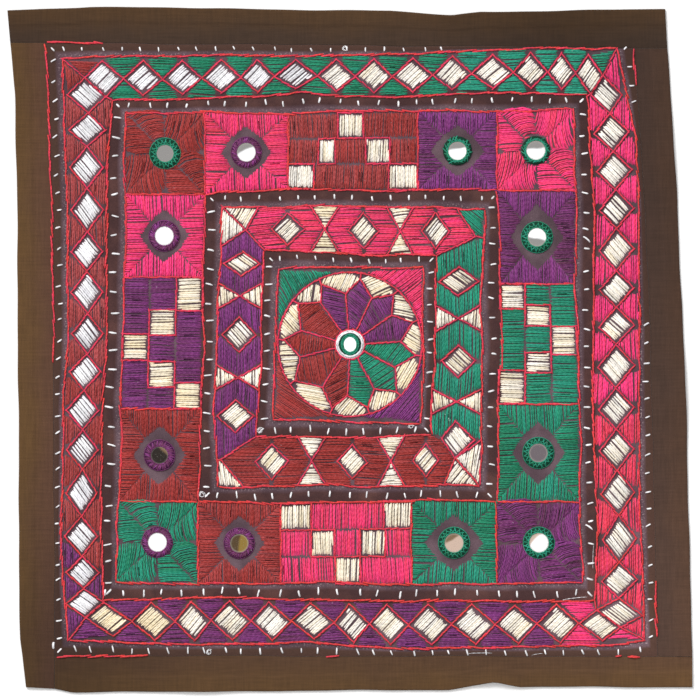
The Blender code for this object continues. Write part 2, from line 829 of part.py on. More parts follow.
def make_mirror(number, centre):
    low = GROUND_TOP + PIECE_GAP
    high = low + MIRROR_THICK
    profile = (
        (MIRROR_RADIUS, low),
        (MIRROR_RADIUS, high - MIRROR_CHAMFER),
        (MIRROR_RADIUS - MIRROR_CHAMFER, high),
    )
    return turned(f"mirror_{number:02d}", profile, centre, MIRROR_SIDES, "mirror", False)


def make_ring(number, centre, outer, finish):
    """The ring of thread stands on the ground cloth and laps over the mirror's rim."""
    low = GROUND_TOP + PIECE_GAP
    lap = low + MIRROR_THICK + PIECE_GAP
    profile = (
        (outer, low),
        (outer - RING_SHOULDER, low + RING_HEIGHT * RING_SHOULDER_SHARE),
        (RING_CROWN_RADIUS, low + RING_HEIGHT),
        (RING_INNER, lap + RING_LIP),
        (MIRROR_RADIUS + PIECE_GAP, lap),
        (MIRROR_RADIUS + PIECE_GAP, low),
    )
    return turned(f"mirror_ring_{number:02d}", profile, centre, RING_SIDES, finish, True)


def main():
    for obj in list(bpy.data.objects):
        bpy.data.objects.remove(obj, do_unlink=True)
    make_panel()
    for side, inner, outer in strip_outlines():
        make_strip(side, inner, outer)
    blocks = block_corners()
    for number, row in enumerate(MIRRORS, start=1):
        in_flower = row.block == "flower"
        centre = FLOWER_CENTRE if in_flower else middle_of(blocks[row.block])
        make_mirror(number, centre)
        make_ring(number, centre, CENTRE_RING_OUTER if in_flower else RING_OUTER, row.thread)


main()
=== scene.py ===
"""Embroidered tablecloth, dressed: cotton, satin stitches, outlines, mirrors and their thread rings,
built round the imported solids. Run it as a script; the panel in the 3D view's sidebar has its sizes.

Tables are in millimetres, x to the right and y to the top of the cloth as it is seen, and repeat
the sizes that the solids are made from.
"""

import math
import random
from collections import namedtuple

import bmesh
import bpy
import numpy as np
from bpy.props import FloatProperty, FloatVectorProperty, IntProperty, PointerProperty
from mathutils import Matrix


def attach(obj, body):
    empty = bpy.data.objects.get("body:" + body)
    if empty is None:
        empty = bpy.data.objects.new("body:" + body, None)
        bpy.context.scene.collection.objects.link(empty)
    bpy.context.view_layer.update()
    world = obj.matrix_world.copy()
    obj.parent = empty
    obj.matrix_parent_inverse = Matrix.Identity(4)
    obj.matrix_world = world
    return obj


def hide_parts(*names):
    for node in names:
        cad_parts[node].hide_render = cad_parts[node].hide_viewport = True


bl_info = {
    "name": "Embroidered tablecloth",
    "version": (1, 0, 0),
    "blender": (4, 5, 0),
    "location": "View3D > Sidebar > Tablecloth",
    "description": "Cotton, stitches, mirrors and thread rings of an embroidered tablecloth",
    "category": "Object",
}

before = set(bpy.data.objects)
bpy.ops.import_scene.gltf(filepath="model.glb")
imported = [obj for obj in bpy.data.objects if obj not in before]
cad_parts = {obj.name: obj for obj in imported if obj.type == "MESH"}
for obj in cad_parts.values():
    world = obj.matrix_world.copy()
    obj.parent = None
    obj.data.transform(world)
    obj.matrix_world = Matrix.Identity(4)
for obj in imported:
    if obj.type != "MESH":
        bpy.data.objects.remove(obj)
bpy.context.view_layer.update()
MM = 0.001


def rows(kind, *values):
    """A table's rows, with names for its columns."""
    return tuple(kind(*row) for row in values)


def by_name(kind, *values):
    """A table's rows, found by their first column."""
    return {row[0]: row for row in rows(kind, *values)}


# Heights over the surface, and the gaps between pieces
GROUND_TOP = 1.2
PIECE_GAP = 0.3
SEAM_GAP = 0.04

# Border strips: thickness at the turned hem, in the middle and at the pressed seam, and the hem
HEM_THICK = 1.7
STRIP_THICK = 1.3
SEAM_THICK = 1.1
HEM_WIDTH = 9.0
HEM_STEP = 1.5
EDGE_ROUND = 0.6
SEAM_WIDTH = 5.0

# Mirrors and the thread rings that hold them
MIRROR_RADIUS = 7.0
RING_OUTER = 9.6

# The sides and the corners of a square, and how the diagonals of the corners run, in degrees
SIDES = ("top", "right", "bottom", "left")
CORNERS = ("top_left", "top_right", "bottom_right", "bottom_left")
DIAGONALS = dict(zip(CORNERS, (-45.0, 45.0, -45.0, 45.0)))

# The square lines of the design, outermost first, by the corners in the order of CORNERS
Square = namedtuple("Square", "top_left top_right bottom_right bottom_left waver")
SQUARES = {
    "edge": Square((-212.5, 210.5), (195.5, 211.5), (212.5, -209.0), (-201.0, -209.0), 0.3),
    "seam": Square((-188.5, 190.5), (175.0, 187.5), (190.5, -190.0), (-183.0, -189.5), 0.4),
    "band_outer": Square((-178.5, 181.5), (166.0, 187.0), (182.5, -179.5), (-174.5, -180.0), 0.45),
    "band_inner": Square((-148.0, 155.0), (147.0, 158.0), (152.0, -155.5), (-153.0, -155.0), 0.45),
    "blocks_outer": Square((-139.0, 146.5), (138.5, 149.0), (144.0, -145.0), (-145.0, -144.5), 1.0),
    "blocks_inner": Square((-89.5, 96.5), (92.0, 99.0), (91.0, -93.5), (-93.5, -95.0), 1.0),
    "frieze_outer": Square((-80.0, 89.5), (83.0, 88.0), (80.5, -83.5), (-82.5, -85.0), 1.0),
    "frieze_inner": Square((-53.0, 61.5), (53.5, 58.5), (51.0, -53.5), (-58.0, -53.0), 1.0),
    "centre": Square((-45.0, 51.0), (45.5, 51.0), (43.5, -45.5), (-47.5, -43.5), 0.6),
}

# The bands between two squares, the outer one first
BAND = ("band_outer", "band_inner")
BLOCK_RING = ("blocks_outer", "blocks_inner")
FRIEZE_BAND = ("frieze_outer", "frieze_inner")

# Where a side leaves the straight line between its corners: places along it, and how far outwards
BOWS = {
    ("edge", "top"): ((-161.0, 2.3), (25.0, -0.8), (63.0, -3.7), (81.0, -1.5)),
    ("edge", "right"): ((-31.0, 3.1), (92.0, 2.6)),
    ("edge", "bottom"): ((-186.0, 0.4), (-172.0, 3.4), (62.0, 1.7), (90.0, -3.0), (105.0, 0.0)),
    ("edge", "left"): ((-180.0, 3.0), (77.0, -2.5), (158.0, -3.5)),
    ("seam", "right"): ((6.0, 4.0), (130.0, 3.3)),
    ("seam", "left"): ((77.0, -2.6),),
    ("band_outer", "top"): ((-62.0, -0.6), (0.0, -1.7), (40.0, -1.5), (118.0, 1.6), (143.0, -0.6)),
    ("band_outer", "right"): ((-62.0, 2.0), (50.0, 7.5), (128.0, 9.0)),
    ("band_outer", "bottom"): (
        (-136.0, 2.1), (-50.0, 2.3), (-25.0, 0.8), (-10.0, 3.7), (37.0, 5.3), (158.0, 4.0),
    ),
    ("band_outer", "left"): ((-118.0, 4.5), (-93.0, 2.8), (-35.0, 2.2), (3.0, -2.1), (120.0, -1.7)),
    ("band_inner", "top"): ((-60.0, 0.9), (-28.0, 3.5), (-6.0, 0.9), (31.0, 0.6), (100.0, 2.0)),
    ("band_inner", "right"): ((-105.0, 2.4), (-62.0, 0.6), (6.0, 1.2), (88.0, 3.6)),
    ("band_inner", "bottom"): ((-80.0, -1.5), (31.0, 0.5)),
    ("band_inner", "left"): ((-120.0, 2.0), (-35.0, 2.5), (5.0, 0.7), (115.0, 1.9)),
    ("blocks_outer", "left"): ((18.0, -1.5),),
    ("blocks_inner", "top"): ((-38.0, 2.2),),
    ("blocks_inner", "right"): ((-2.0, 2.4),),
    ("frieze_outer", "left"): ((-48.0, 2.0),),
    ("frieze_inner", "bottom"): ((-2.0, 1.0),),
    ("centre", "right"): ((-12.0, 1.2),),
}

# A hand-stitched line wavers: size and wave length of each waver
Waver = namedtuple("Waver", "size length")
WAVERS = (Waver(0.6, 138.0), Waver(0.45, 71.0), Waver(0.3, 37.0))
WAVER_SHIFT = 2.4

# Low ripples of the border strips: they lift the outer edge, and die out at the seam
Ripple = namedtuple("Ripple", "side along width lift")
RIPPLES = rows(
    Ripple,
    ("top", 63.0, 15.0, 2.2),
    ("top", -150.0, 20.0, 1.4),
    ("right", 122.0, 17.0, 1.3),
    ("right", -24.0, 22.0, 1.7),
    ("bottom", 91.0, 13.0, 2.4),
    ("bottom", -92.0, 18.0, 1.2),
    ("left", 150.0, 16.0, 1.6),
    ("left", -62.0, 20.0, 1.3),
)

# Outer band: a chain of diamonds on each side, how the threads of its pads lie, in degrees, where
# across the band its knots are, how far its tips stay from the lines, how far along the outer
# tips lead the inner ones, and how far single knots, by number, are from their even places
Chain = namedtuple("Chain", "side first last diamonds swell pad_turn middle margin skew strays")
CHAINS = by_name(
    Chain,
    ("top", -140.5, 140.0, 12, 0.05, 50.0, 0.53, 0.105, 0.0,
     {4: -3.0, 8: 1.8, 9: 2.9, 10: 6.2, 11: 5.0}),
    ("right", -154.0, 146.5, 12, 0.07, -52.0, 0.505, 0.115, 0.7,
     {1: -4.6, 2: -1.5, 6: 1.9, 8: -1.9}),
    ("bottom", -135.5, 142.0, 11, -0.03, 50.0, 0.50, 0.075, 1.2,
     {1: 2.5, 5: 1.5, 6: -1.8, 7: -2.9, 8: -1.6}),
    ("left", -148.0, 147.0, 12, 0.0, -50.0, 0.51, 0.095, 0.0,
     {1: -4.6, 2: -4.3, 6: -1.9, 7: -1.5, 10: 2.4, 11: 3.7}),
)
PAD_SHARE = 0.81
PAD_STRAY = 0.40
PAD_TURN_JITTER = 2.0
TRIANGLE_SHARE = 0.84

# The fillings of the outer band change their thread along a side: from this place on, on the
# outer and on the inner edge of the band. Dye runs from 0 to 1 between a thread's two shades
BandThread = namedtuple("BandThread", "side outer_from inner_from thread dye")
BAND_THREADS = rows(
    BandThread,
    ("top", -250.0, -250.0, "green", 0.1),
    ("top", 60.0, 60.0, "green", 0.8),
    ("right", -250.0, -250.0, "pink", 0.95),
    ("right", -44.0, -44.0, "pink", 0.15),
    ("bottom", -250.0, -250.0, "purple", 0.4),
    ("bottom", 125.0, 125.0, "pink", 0.2),
    ("left", -250.0, -250.0, "purple", 0.4),
    ("left", -120.0, -135.0, "brick", 0.5),
    ("left", -20.0, -20.0, "brick", 0.85),
)
PadThread = namedtuple("PadThread", "side start thread dye")
PAD_THREADS = rows(
    PadThread,
    ("top", -250.0, "white", 0.4),
    ("top", -20.0, "cream", 0.1),
    ("right", -250.0, "cream", 0.15),
    ("right", 40.0, "cream", 0.05),
    ("bottom", -250.0, "cream", 1.0),
    ("bottom", -110.0, "cream", 0.2),
    ("left", -250.0, "white", 0.35),
)

# Corners of the outer band: thread and dye of the triangles on the level and the upright side,
# and where the two tilted diamonds start and end between the outer corner (0, 0) and the inner
# one (1, 1)
BandCorner = namedtuple("BandCorner", "corner level upright start end")
BAND_CORNERS = by_name(
    BandCorner,
    ("top_left", ("brick", 0.3), ("brick", 0.3), (0.45, 0.48), (0.87, 0.93)),
    ("top_right", ("green", 0.3), ("pink", 0.3), (0.47, 0.58), (0.90, 0.98)),
    ("bottom_right", ("pink", 0.1), ("pink", 0.9), (0.48, 0.32), (0.95, 0.76)),
    ("bottom_left", ("purple", 0.3), ("purple", 0.3), (0.49, 0.57), (1.02, 0.95)),
)

# Ring of blocks: the two walls that part each side into block, chequer, block
Walls = namedtuple("Walls", "side first last")
BLOCK_WALLS = rows(
    Walls,
    ("top", -38.5, 42.0),
    ("right", -33.5, 41.0),
    ("bottom", -43.0, 38.0),
    ("left", -36.5, 45.0),
)

# Blocks clockwise by name, and how far the bare diamond of a mirror reaches across and up
Block = namedtuple("Block", "name thread dye moat_across moat_up", defaults=(16.0, 16.0))
BLOCKS = rows(
    Block,
    ("top_left", "brick", 0.05),
    ("top_low", "pink", 0.45, 15.4, 16.0),
    ("top_chequer", "brick", 0.35),
    ("top_high", "purple", 0.15, 16.4, 15.6),
    ("top_right", "pink", 0.35),
    ("right_high", "purple", 0.4, 16.1, 20.0),
    ("right_chequer", "green", 0.45),
    ("right_low", "green", 0.25, 16.0, 19.0),
    ("bottom_right", "purple", 0.45),
    ("bottom_high", "green", 0.3, 18.0, 17.0),
    ("bottom_chequer", "pink", 0.5),
    ("bottom_low", "brick", 0.2, 15.2, 17.0),
    ("bottom_left", "green", 0.35),
    ("left_low", "brick", 0.1, 16.1, 18.0),
    ("left_chequer", "purple", 0.4),
    ("left_high", "pink", 0.2, 14.8, 16.3),
)

# The notches between two leaves, along a block's edge and inwards, and how far a bare diamond
# reaches towards the corners of its block, as a share of how far its tips do
NOTCH_ALONG = 2.2
NOTCH_DEEP = 4.4
MOAT_SHOULDER = 0.79

# How the two halves of a leaf lie, by the way that its vein runs to the right, and whether the half
# lies above it: the turn of the stitches and their bow
LEAF_HALVES = {
    ("down", True): (14.0, 0.16),
    ("down", False): (3.0, 0.04),
    ("up", True): (80.0, -0.05),
    ("up", False): (100.0, 0.10),
}

# Painted sheen: satin catches the light differently by the way it lies, so the upright stitches of
# a mitred block show this much less dye, and the level ones this much more
SECTOR_PAINTED_SHEEN = {"purple": 0.26, "pink": 0.15, "green": -0.15, "brick": 0.06}

# Dye of the light cells of each chequered block
CELL_DYE = {"top": 0.3, "right": 0.45, "bottom": 0.5, "left": 0.65}

# The light cells of the chequers, row by row from the outer edge: where each starts and ends along
# the block, as shares of it from its low end
LIGHT_CELLS = {
    "top_chequer": (((0.385, 0.58),), ((0.235, 0.365), (0.60, 0.785)), ((0.0, 0.20), (0.775, 1.0))),
    "right_chequer": (((0.41, 0.645),), ((0.26, 0.43), (0.65, 0.825)), ((0.0, 0.28), (0.79, 1.0))),
    "bottom_chequer": (((0.42, 0.61),), ((0.235, 0.41), (0.61, 0.80)), ((0.0, 0.235), (0.79, 1.0))),
    "left_chequer": (((0.37, 0.57),), ((0.165, 0.36), (0.56, 0.755)), ((0.0, 0.20), (0.745, 1.0))),
}

# Inner frieze: diamonds and crosses along each side, how the threads of the pads lie, their dye,
# and half the height of a diamond, as a share of the band
Motif = namedtuple("Motif", "side along kind half_length pad_turn dye reach", defaults=(0.5,))
FRIEZE = rows(
    Motif,
    ("top", -38.5, "diamond", 10.2, 54.0, 0.3, 0.37),
    ("top", -15.5, "cross", 9.0, 0.0, 0.6),
    ("top", 8.5, "diamond", 9.3, 40.0, 0.3, 0.365),
    ("top", 31.0, "cross", 8.2, 4.0, 0.5),
    ("top", 53.0, "diamond", 8.7, 30.0, 0.25, 0.37),
    ("right", -32.0, "cross", 7.8, 92.0, 0.4),
    ("right", -7.0, "diamond", 10.0, -50.0, 0.35, 0.36),
    ("right", 19.5, "cross", 8.2, 88.0, 0.3),
    ("right", 42.5, "diamond", 9.0, -60.0, 0.4, 0.43),
    ("bottom", -48.5, "diamond", 10.2, 35.0, 0.3, 0.36),
    ("bottom", -24.0, "cross", 8.6, -4.0, 0.3),
    ("bottom", 1.5, "diamond", 9.4, 44.0, 0.3, 0.35),
    ("bottom", 25.5, "cross", 8.6, 0.0, 0.3),
    ("bottom", 47.0, "diamond", 8.2, 38.0, 0.35, 0.32),
    ("left", -41.0, "diamond", 10.0, 45.0, 0.35, 0.43),
    ("left", -17.0, "cross", 7.8, 90.0, 0.3),
    ("left", 9.5, "diamond", 11.0, -62.0, 0.1, 0.38),
    ("left", 33.5, "cross", 8.0, 94.0, 0.4),
    ("left", 53.5, "diamond", 7.4, -42.0, 0.3, 0.437),
)
FriezeThread = namedtuple("FriezeThread", "side thread dye turn")
FRIEZE_THREADS = by_name(
    FriezeThread,
    ("top", "pink", 0.6, 1.0),
    ("right", "green", 0.65, 90.0),
    ("bottom", "brick", 0.1, 0.0),
    ("left", "purple", 0.15, 90.0),
)

# Where the frieze's fillings end at its corners, as shares of the corner square that lies between
# the outer corner (0, 0) and the inner corner (1, 1): the knot that the lines meet in, and where
# the filling of the side beside it starts on the outer line. Then the threads of the patches
# outside the knot, on the level and the upright side, and how they lie
CornerKnot = namedtuple(
    "CornerKnot", "corner knot along_level along_upright thread level_turn upright_turn"
)
LEVEL_PATCH_DYE = 0.3
UPRIGHT_PATCH_DYE = 0.1
WHOLE_PATCH_DYE = 0.4
CORNER_KNOTS = by_name(
    CornerKnot,
    ("top_left", (0.57, 0.53), 0.87, 0.90, "cream", 58.0, 90.0),
    ("top_right", (0.19, 0.60), 0.60, 0.62, "green", -38.0, -38.0),
    ("bottom_right", (0.50, 0.54), 0.74, 0.90, "cream", 55.0, 78.0),
    ("bottom_left", (0.06, 0.54), 0.70, 0.54, "cream", 98.0, 98.0),
)

# Corners whose outer part is split by the diagonal, and the leaning diamond of the lower right
# one: its upper, right and left tip as shares of the corner square, its lower tip is the knot
SPLIT_CORNERS = ("top_left", "bottom_right")
TILTED_DIAMOND = ((0.50, 1.27), (0.10, 0.90), (0.79, 0.93))
TILTED_PAD_TURN = -52.0

# Centre flower: eleven petals, by the angle of the tip and of the notch that follows it, the
# thread of each and how it lies, and how the light threads lie in the gap that follows
FLOWER_CENTRE = (0.0, 3.5)
FLOWER_RADIUS = 44.8
NOTCH_RADIUS = 31.6
PETAL_TIP_RADIUS = 41.0
CORE_LINE_RADIUS = 9.6
CIRCLE_STEPS = 72
GAP_STEPS = 6
GAP_DYE = 0.7
Petal = namedtuple("Petal", "tip notch thread dye turn gap_turn")
PETALS = rows(
    Petal,
    (115.5, 95.0, "purple", 0.25, 172.0, 62.0),
    (81.0, 65.0, "purple", 0.25, 142.0, 22.0),
    (48.5, 35.0, "purple", 0.3, 118.0, -8.0),
    (19.5, 3.0, "purple", 0.35, 98.0, -30.0),
    (-9.5, -27.0, "green", 0.2, 50.0, 60.0),
    (-45.5, -61.5, "green", 0.25, 34.0, 74.0),
    (-74.5, -92.5, "green", 0.2, -4.0, 50.0),
    (-105.5, -123.0, "brick", 0.1, 24.0, -12.0),
    (-146.5, -165.5, "brick", 0.2, 100.0, 0.0),
    (-184.0, -195.5, "brick", 0.1, 84.0, -50.0),
    (-218.0, -235.0, "brick", 0.15, 40.0, 84.0),
)
CentreCorner = namedtuple("CentreCorner", "corner angle thread dye turn bow")
CENTRE_CORNERS = rows(
    CentreCorner,
    ("top_left", 135.0, "green", 0.4, -62.0, 0.04),
    ("top_right", 45.0, "pink", 0.45, 40.0, 0.0),
    ("bottom_right", -45.0, "purple", 0.1, 52.0, 0.02),
    ("bottom_left", -135.0, "brick", 0.2, -35.0, 0.0),
)
CORNER_FILL_SPREAD = 42.0
CORNER_FILL_STEPS = 12

# The mirrors in number order: the block each sits in, the thread and the make of its ring, the
# tints of its painted reflection, partly tarnished silvering, below and above a line, how that
# line leans and where it crosses, and the radii of the ring's opening and of its outside
Mirror = namedtuple("Mirror", "block thread make low high lean level opening outside")
MIRRORS = rows(
    Mirror,
    ("top_left", "green", "netted", "grey", "grey", 20.0, 0.0, 5.2, 9.8),
    ("top_low", "purple", "dense", "white", "grey", 25.0, 1.2, 5.9, 9.6),
    ("top_high", "green", "ragged", "white", "grey", 10.0, 1.0, 5.8, 9.1),
    ("top_right", "green", "ragged", "white", "grey", 5.0, 1.0, 6.1, 8.9),
    ("right_high", "green", "netted", "grey", "white", -15.0, -1.0, 5.7, 9.9),
    ("right_low", "green", "netted", "dusk", "dusk", 0.0, 0.0, 5.8, 9.9),
    ("bottom_right", "green", "netted", "white", "beige", 45.0, 3.0, 6.1, 9.9),
    ("bottom_high", "green", "netted", "beige", "brown", 30.0, 2.4, 5.9, 9.9),
    ("bottom_low", "purple", "dense", "olive", "umber", 80.0, 0.0, 5.8, 9.7),
    ("bottom_left", "purple", "dense", "white", "white", 0.0, 0.0, 5.9, 9.7),
    ("left_low", "purple", "dense", "dark", "brown", -40.0, 3.4, 5.2, 9.8),
    ("left_high", "purple", "dense", "white", "white", 0.0, 0.0, 5.9, 9.7),
    ("flower", "green", "corded", "white", "white", 0.0, 0.0, 4.6, 8.7),
)

# How each thread is laid: spacing of the stitches, their width, the share of them that leaves a
# gap beside it, and that gap
Thread = namedtuple("Thread", "pitch width loose gap")
THREADS = {
    "brick": Thread(0.68, 0.86, 0.10, 0.24),
    "purple": Thread(0.68, 0.86, 0.05, 0.24),
    "pink": Thread(0.94, 1.12, 0.17, 0.46),
    "green": Thread(0.92, 1.10, 0.17, 0.42),
    "white": Thread(1.18, 1.44, 0.20, 0.52),
    "cream": Thread(1.14, 1.38, 0.22, 0.52),
}
LINE_CLEAR = 0.55
TRIANGLE_CLEAR = 0.85
BLOCK_CLEAR = -0.15
CELL_CLEAR = 0.85
DARK_CELL_CLEAR = 0.0
SHORTEST_STITCH = 1.1
END_JITTER = 0.55
SIDE_JITTER = 0.32
BOW_JITTER = 0.42
TURN_JITTER = 4.0
LOOSE_RANGE = (0.4, 1.6)
FIRST_RANGE = (0.35, 0.65)
PITCH_RANGE = (0.88, 1.12)
GAP_RANGE = (0.5, 1.5)
DYE_JITTER = 0.18

# Satin stitches, outlines and running stitches: height of their foot
SATIN_FOOT = 1.05
LINE_FOOT = 1.45
RUNNING_FOOT = 1.15

# Outlines in stem stitch: how far apart the stitches start, how long and how wide they are, how far
# they wander, their dye, that of the lines below LOW_LINES, and how far they pass a line's ends
Line = namedtuple("Line", "advance length width wander dye low_dye overshoot")
FRAME_LINE = Line(5.2, 8.4, 1.10, 0.55, 0.35, 0.15, 0.0)
MOTIF_LINE = Line(4.4, 6.4, 1.00, 0.22, 0.8, 0.5, 0.9)
LOW_LINES = -60.0
LINE_LEAN = 0.34
LINE_PLACE_JITTER = 0.1
LINE_LENGTH_RANGE = (0.86, 1.1)
LINE_TWIST = 1.4
FRAME_SQUARES = (
    "band_outer", "band_inner", "blocks_outer", "blocks_inner", "frieze_outer", "frieze_inner",
    "centre",
)

# The outermost outline shows only in parts beside the seams
SeamRun = namedtuple("SeamRun", "side start end")
SEAM_RUNS = rows(
    SeamRun,
    ("top", -188.0, -153.0),
    ("left", -8.0, 190.0),
    ("right", 164.0, 187.0),
    ("right", -178.0, -143.0),
    ("bottom", -182.0, -125.0),
    ("bottom", -15.0, -6.5),
    ("bottom", 164.5, 168.5),
    ("bottom", 172.0, 180.0),
)
SEAM_RUN_INSIDE = -0.2

# Bare channels between the squares, with a row of white running stitches across each: where the
# row runs, as a share of the channel, its pitch, the stitches' length and width, the share of the
# channel that the padded dark strip takes, and how much lint lies beside it
Channel = namedtuple("Channel", "outer inner share pitch length width dark lint")
CHANNELS = rows(
    Channel,
    ("seam", "band_outer", 0.42, 11.6, 3.8, 1.10, 0.62, 1.3),
    ("band_inner", "blocks_outer", 0.42, 12.0, 4.2, 1.25, 0.67, 0.9),
    ("blocks_inner", "frieze_outer", 0.44, 11.6, 4.0, 1.20, 0.68, 0.9),
    ("frieze_inner", "centre", 0.42, 10.4, 4.0, 1.20, 0.58, 0.9),
)
RUNNING_SLANT = 17.0
RUNNING_PLACE_JITTER = 0.12
RUNNING_SHARE_JITTER = 0.08
RUNNING_RANGE = (0.82, 1.14)
RUNNING_BOW = 0.2
LONGEST_SHARE = 0.78
BARE_CORNER = ("seam", "bottom_right")
DARK_SOFT = 0.12

# How the running stitches of a side differ: how far those by the seam lean, their length there
# and in the other channels, against the channel's, and the narrowest channel that still has them
Row = namedtuple("Row", "side lean seam_length length narrowest")
ROWS = rows(
    Row,
    ("top", 14.0, 0.80, 0.86, 3.2),
    ("right", 14.0, 1.0, 1.0, 6.1),
    ("bottom", 12.0, 1.10, 1.12, 3.2),
    ("left", 20.0, 0.98, 1.22, 3.2),
)

# Knots of the white thread: middle, size across and up, and how they lean in degrees
Knot = namedtuple("Knot", "x y width height turn")
KNOTS = rows(
    Knot,
    (-3.1, 186.9, 4.2, 3.4, 20.0),
    (-91.8, -89.6, 4.6, 4.0, -30.0),
    (-55.8, -49.9, 4.8, 3.8, 15.0),
    (37.8, -47.4, 4.4, 3.2, 0.0),
    (-87.4, -187.2, 4.0, 3.6, 40.0),
)
KNOT_TURNS = 1.7
KNOT_STEPS = 15
KNOT_WIND = 0.55
KNOT_JITTER = 0.12
KNOT_RISE = 0.5

# Each stitch of a knot: width, height, dye, bow and hump
KNOT_STITCH = (0.55, 0.55, 0.2, 0.1, 0.1)

# Loose ends of the white thread: middle, length, turn in degrees, bow and width
LooseEnd = namedtuple("LooseEnd", "x y length turn bow width")
LOOSE_ENDS = rows(
    LooseEnd,
    (80.6, -188.3, 21.0, 1.0, 0.5, 0.40),
    (116.6, -188.9, 9.0, 8.0, 0.6, 0.35),
    (139.5, -154.2, 17.0, 7.0, 0.5, 0.45),
    (150.9, -128.0, 17.0, 88.0, 0.3, 0.40),
    (146.7, 68.5, 6.0, -40.0, 0.5, 1.10),
    (148.2, -109.9, 5.8, -35.0, 0.4, 1.20),
    (60.0, -42.0, 6.0, -58.0, 0.9, 0.55),
    (-151.9, -150.4, 4.5, 80.0, 0.2, 1.60),
    (-183.8, -183.2, 4.5, 88.0, 0.2, 1.50),
)

# Where no outline is moved inwards: an edge too short to count, a mitre too sharp to follow, and
# the share of its area that a shape has to keep
SHORTEST_EDGE = 0.05
SHARPEST_MITRE = 0.35
SMALLEST_SHARE = 0.12

# Heights of the stitches, how far they arch, and how their shades differ from piece to piece
SATIN_HEIGHT = 0.86
SATIN_HUMP = 0.22
SATIN_HUMP_SHARE = 0.03
LINE_HEIGHT = 0.80
LINE_HUMP = 0.10
RUNNING_HEIGHT = 0.95
RUNNING_HUMP = 0.35
RUNNING_DYE = 0.4
LOOSE_DYE = 0.3
LOOSE_HUMP = 0.2
DYE_DRIFT = 0.10
FRAME_STEPS = 60
RUN_STEPS = 24

# Cords that run round a mirror: the make of the ring, the thread, where the cord lies as a share
# of the way from the ring's opening to its outside, its height and width, how far each stitch
# leans out of the circle, how many there are and how they overlap
Cord = namedtuple("Cord", "make thread share height width lean stitches overlap")
CORDS = rows(
    Cord,
    ("netted", "ring", 0.10, 2.35, 0.85, 0.16, 22, 1.7),
    ("netted", "ring", 0.92, 1.30, 0.85, 0.14, 30, 1.6),
    ("dense", "ring", 0.10, 2.35, 0.90, 0.14, 22, 1.7),
    ("dense", "ring", 0.93, 1.30, 0.80, 0.14, 30, 1.6),
    ("ragged", "ring", 0.10, 2.35, 0.85, 0.20, 20, 1.7),
    ("corded", "ring", 0.13, 2.35, 1.10, 0.12, 20, 1.8),
    ("corded", "ring", 0.38, 2.45, 1.00, 0.14, 24, 1.8),
    ("corded", "white", 0.72, 2.10, 1.35, 0.34, 18, 1.8),
    ("corded", "white", 0.95, 1.40, 0.95, 0.12, 26, 1.7),
)

# The loops that hold a mirror down: how many, whether every other one crosses back, their slant
# in degrees round the ring, how ragged they end and their width. Squeeze narrows the opening of
# the ring across; dye is that of the whole ring
Make = namedtuple("Make", "name loops crossed slant ragged width squeeze dye")
MAKES = by_name(
    Make,
    ("netted", 40, True, 9.0, 0.25, 0.80, 1.0, 0.35),
    ("dense", 50, False, 7.0, 0.20, 1.10, 1.0, 0.70),
    ("ragged", 44, True, 11.0, 1.40, 0.85, 1.0, 0.35),
    ("corded", 0, False, 0.0, 0.0, 0.9, 0.86, 0.40),
)
CORD_JITTER = 0.08
LOOP_JITTER = 0.25
LOOP_SLANT_JITTER = 4.0
LOOP_PAST = 0.4
LOOP_WIDTH_RANGE = (0.85, 1.15)
LOOP_INSIDE = 0.35
LOOP_TOP = 2.45
LOOP_FOOT = 1.35
LOOP_HEIGHT = 0.62
LOOP_HUMP = 0.50

# The padded core under the loops, as (share of the way from the opening to the outside, height),
# the lap that it has round the glass, as (radius, height), and how many sides it has
CORE_PROFILE = ((0.97, 1.5), (0.90, 2.15), (0.60, 2.75), (0.05, 2.65))
CORE_LAP = ((7.3, 2.6), (7.3, 1.5))
CORE_SIDES = 48

# From this angle on an edge of a mesh shows as sharp, in a core and in all else
CORE_SMOOTH_ANGLE = 60.0
SMOOTH_ANGLE = 40.0

# What is added to the seed for the draws that place a group's stitches, and for a piece's sizes
OUTLINE_DRAWS = 101
RUNNING_DRAWS = 202
RING_DRAWS = 303
SEEDS = {"satin_" + name: number for number, name in enumerate(THREADS)}
SEEDS |= {"outlines_frames": 11, "outlines_motifs": 12, "running_stitches": 21}
SEEDS |= {"ring_green": 31, "ring_purple": 32, "ring_white": 39}

# One stitch of unit size: its cross-section as (across, up), and stations along it as (along,
# spread of the section, how far it sinks)
STITCH_SECTION = ((-0.5, 0.2), (-0.22, 0.9), (0.22, 0.9), (0.5, 0.2), (0.0, 0.0))
STITCH_STATIONS = (
    (-0.50, 0.45, -0.75),
    (-0.44, 0.85, -0.25),
    (-0.20, 1.0, 0.0),
    (0.20, 1.0, 0.0),
    (0.44, 0.85, -0.25),
    (0.50, 0.45, -0.75),
)

# Mesh of the ground cloth: steps along each side, and across each ring between two squares
GROUND_STEPS = 170
GROUND_BANDS = (
    ("seam", "band_outer", 8),
    ("band_outer", "band_inner", 5),
    ("band_inner", "blocks_outer", 9),
    ("blocks_outer", "blocks_inner", 8),
    ("blocks_inner", "frieze_outer", 9),
    ("frieze_outer", "frieze_inner", 5),
    ("frieze_inner", "centre", 9),
    ("centre", None, 7),
)
FAN_SHARE = 0.94
STRIP_PAD = 0.28
GROUND_RIPPLE = 0.07
# Painted shade between the raised stitches: share of the dark strip colour in the bare ground inside the
# outer band and the frieze
BAND_PAINTED_SHADE = 0.1

# The ripples across and up: waves along their own way, how far they bend, and waves beside it
Wave = namedtuple("Wave", "along bend beside")
GROUND_WAVES = (Wave(0.21, 1.3, 0.13), Wave(0.19, 0.7, 0.11))

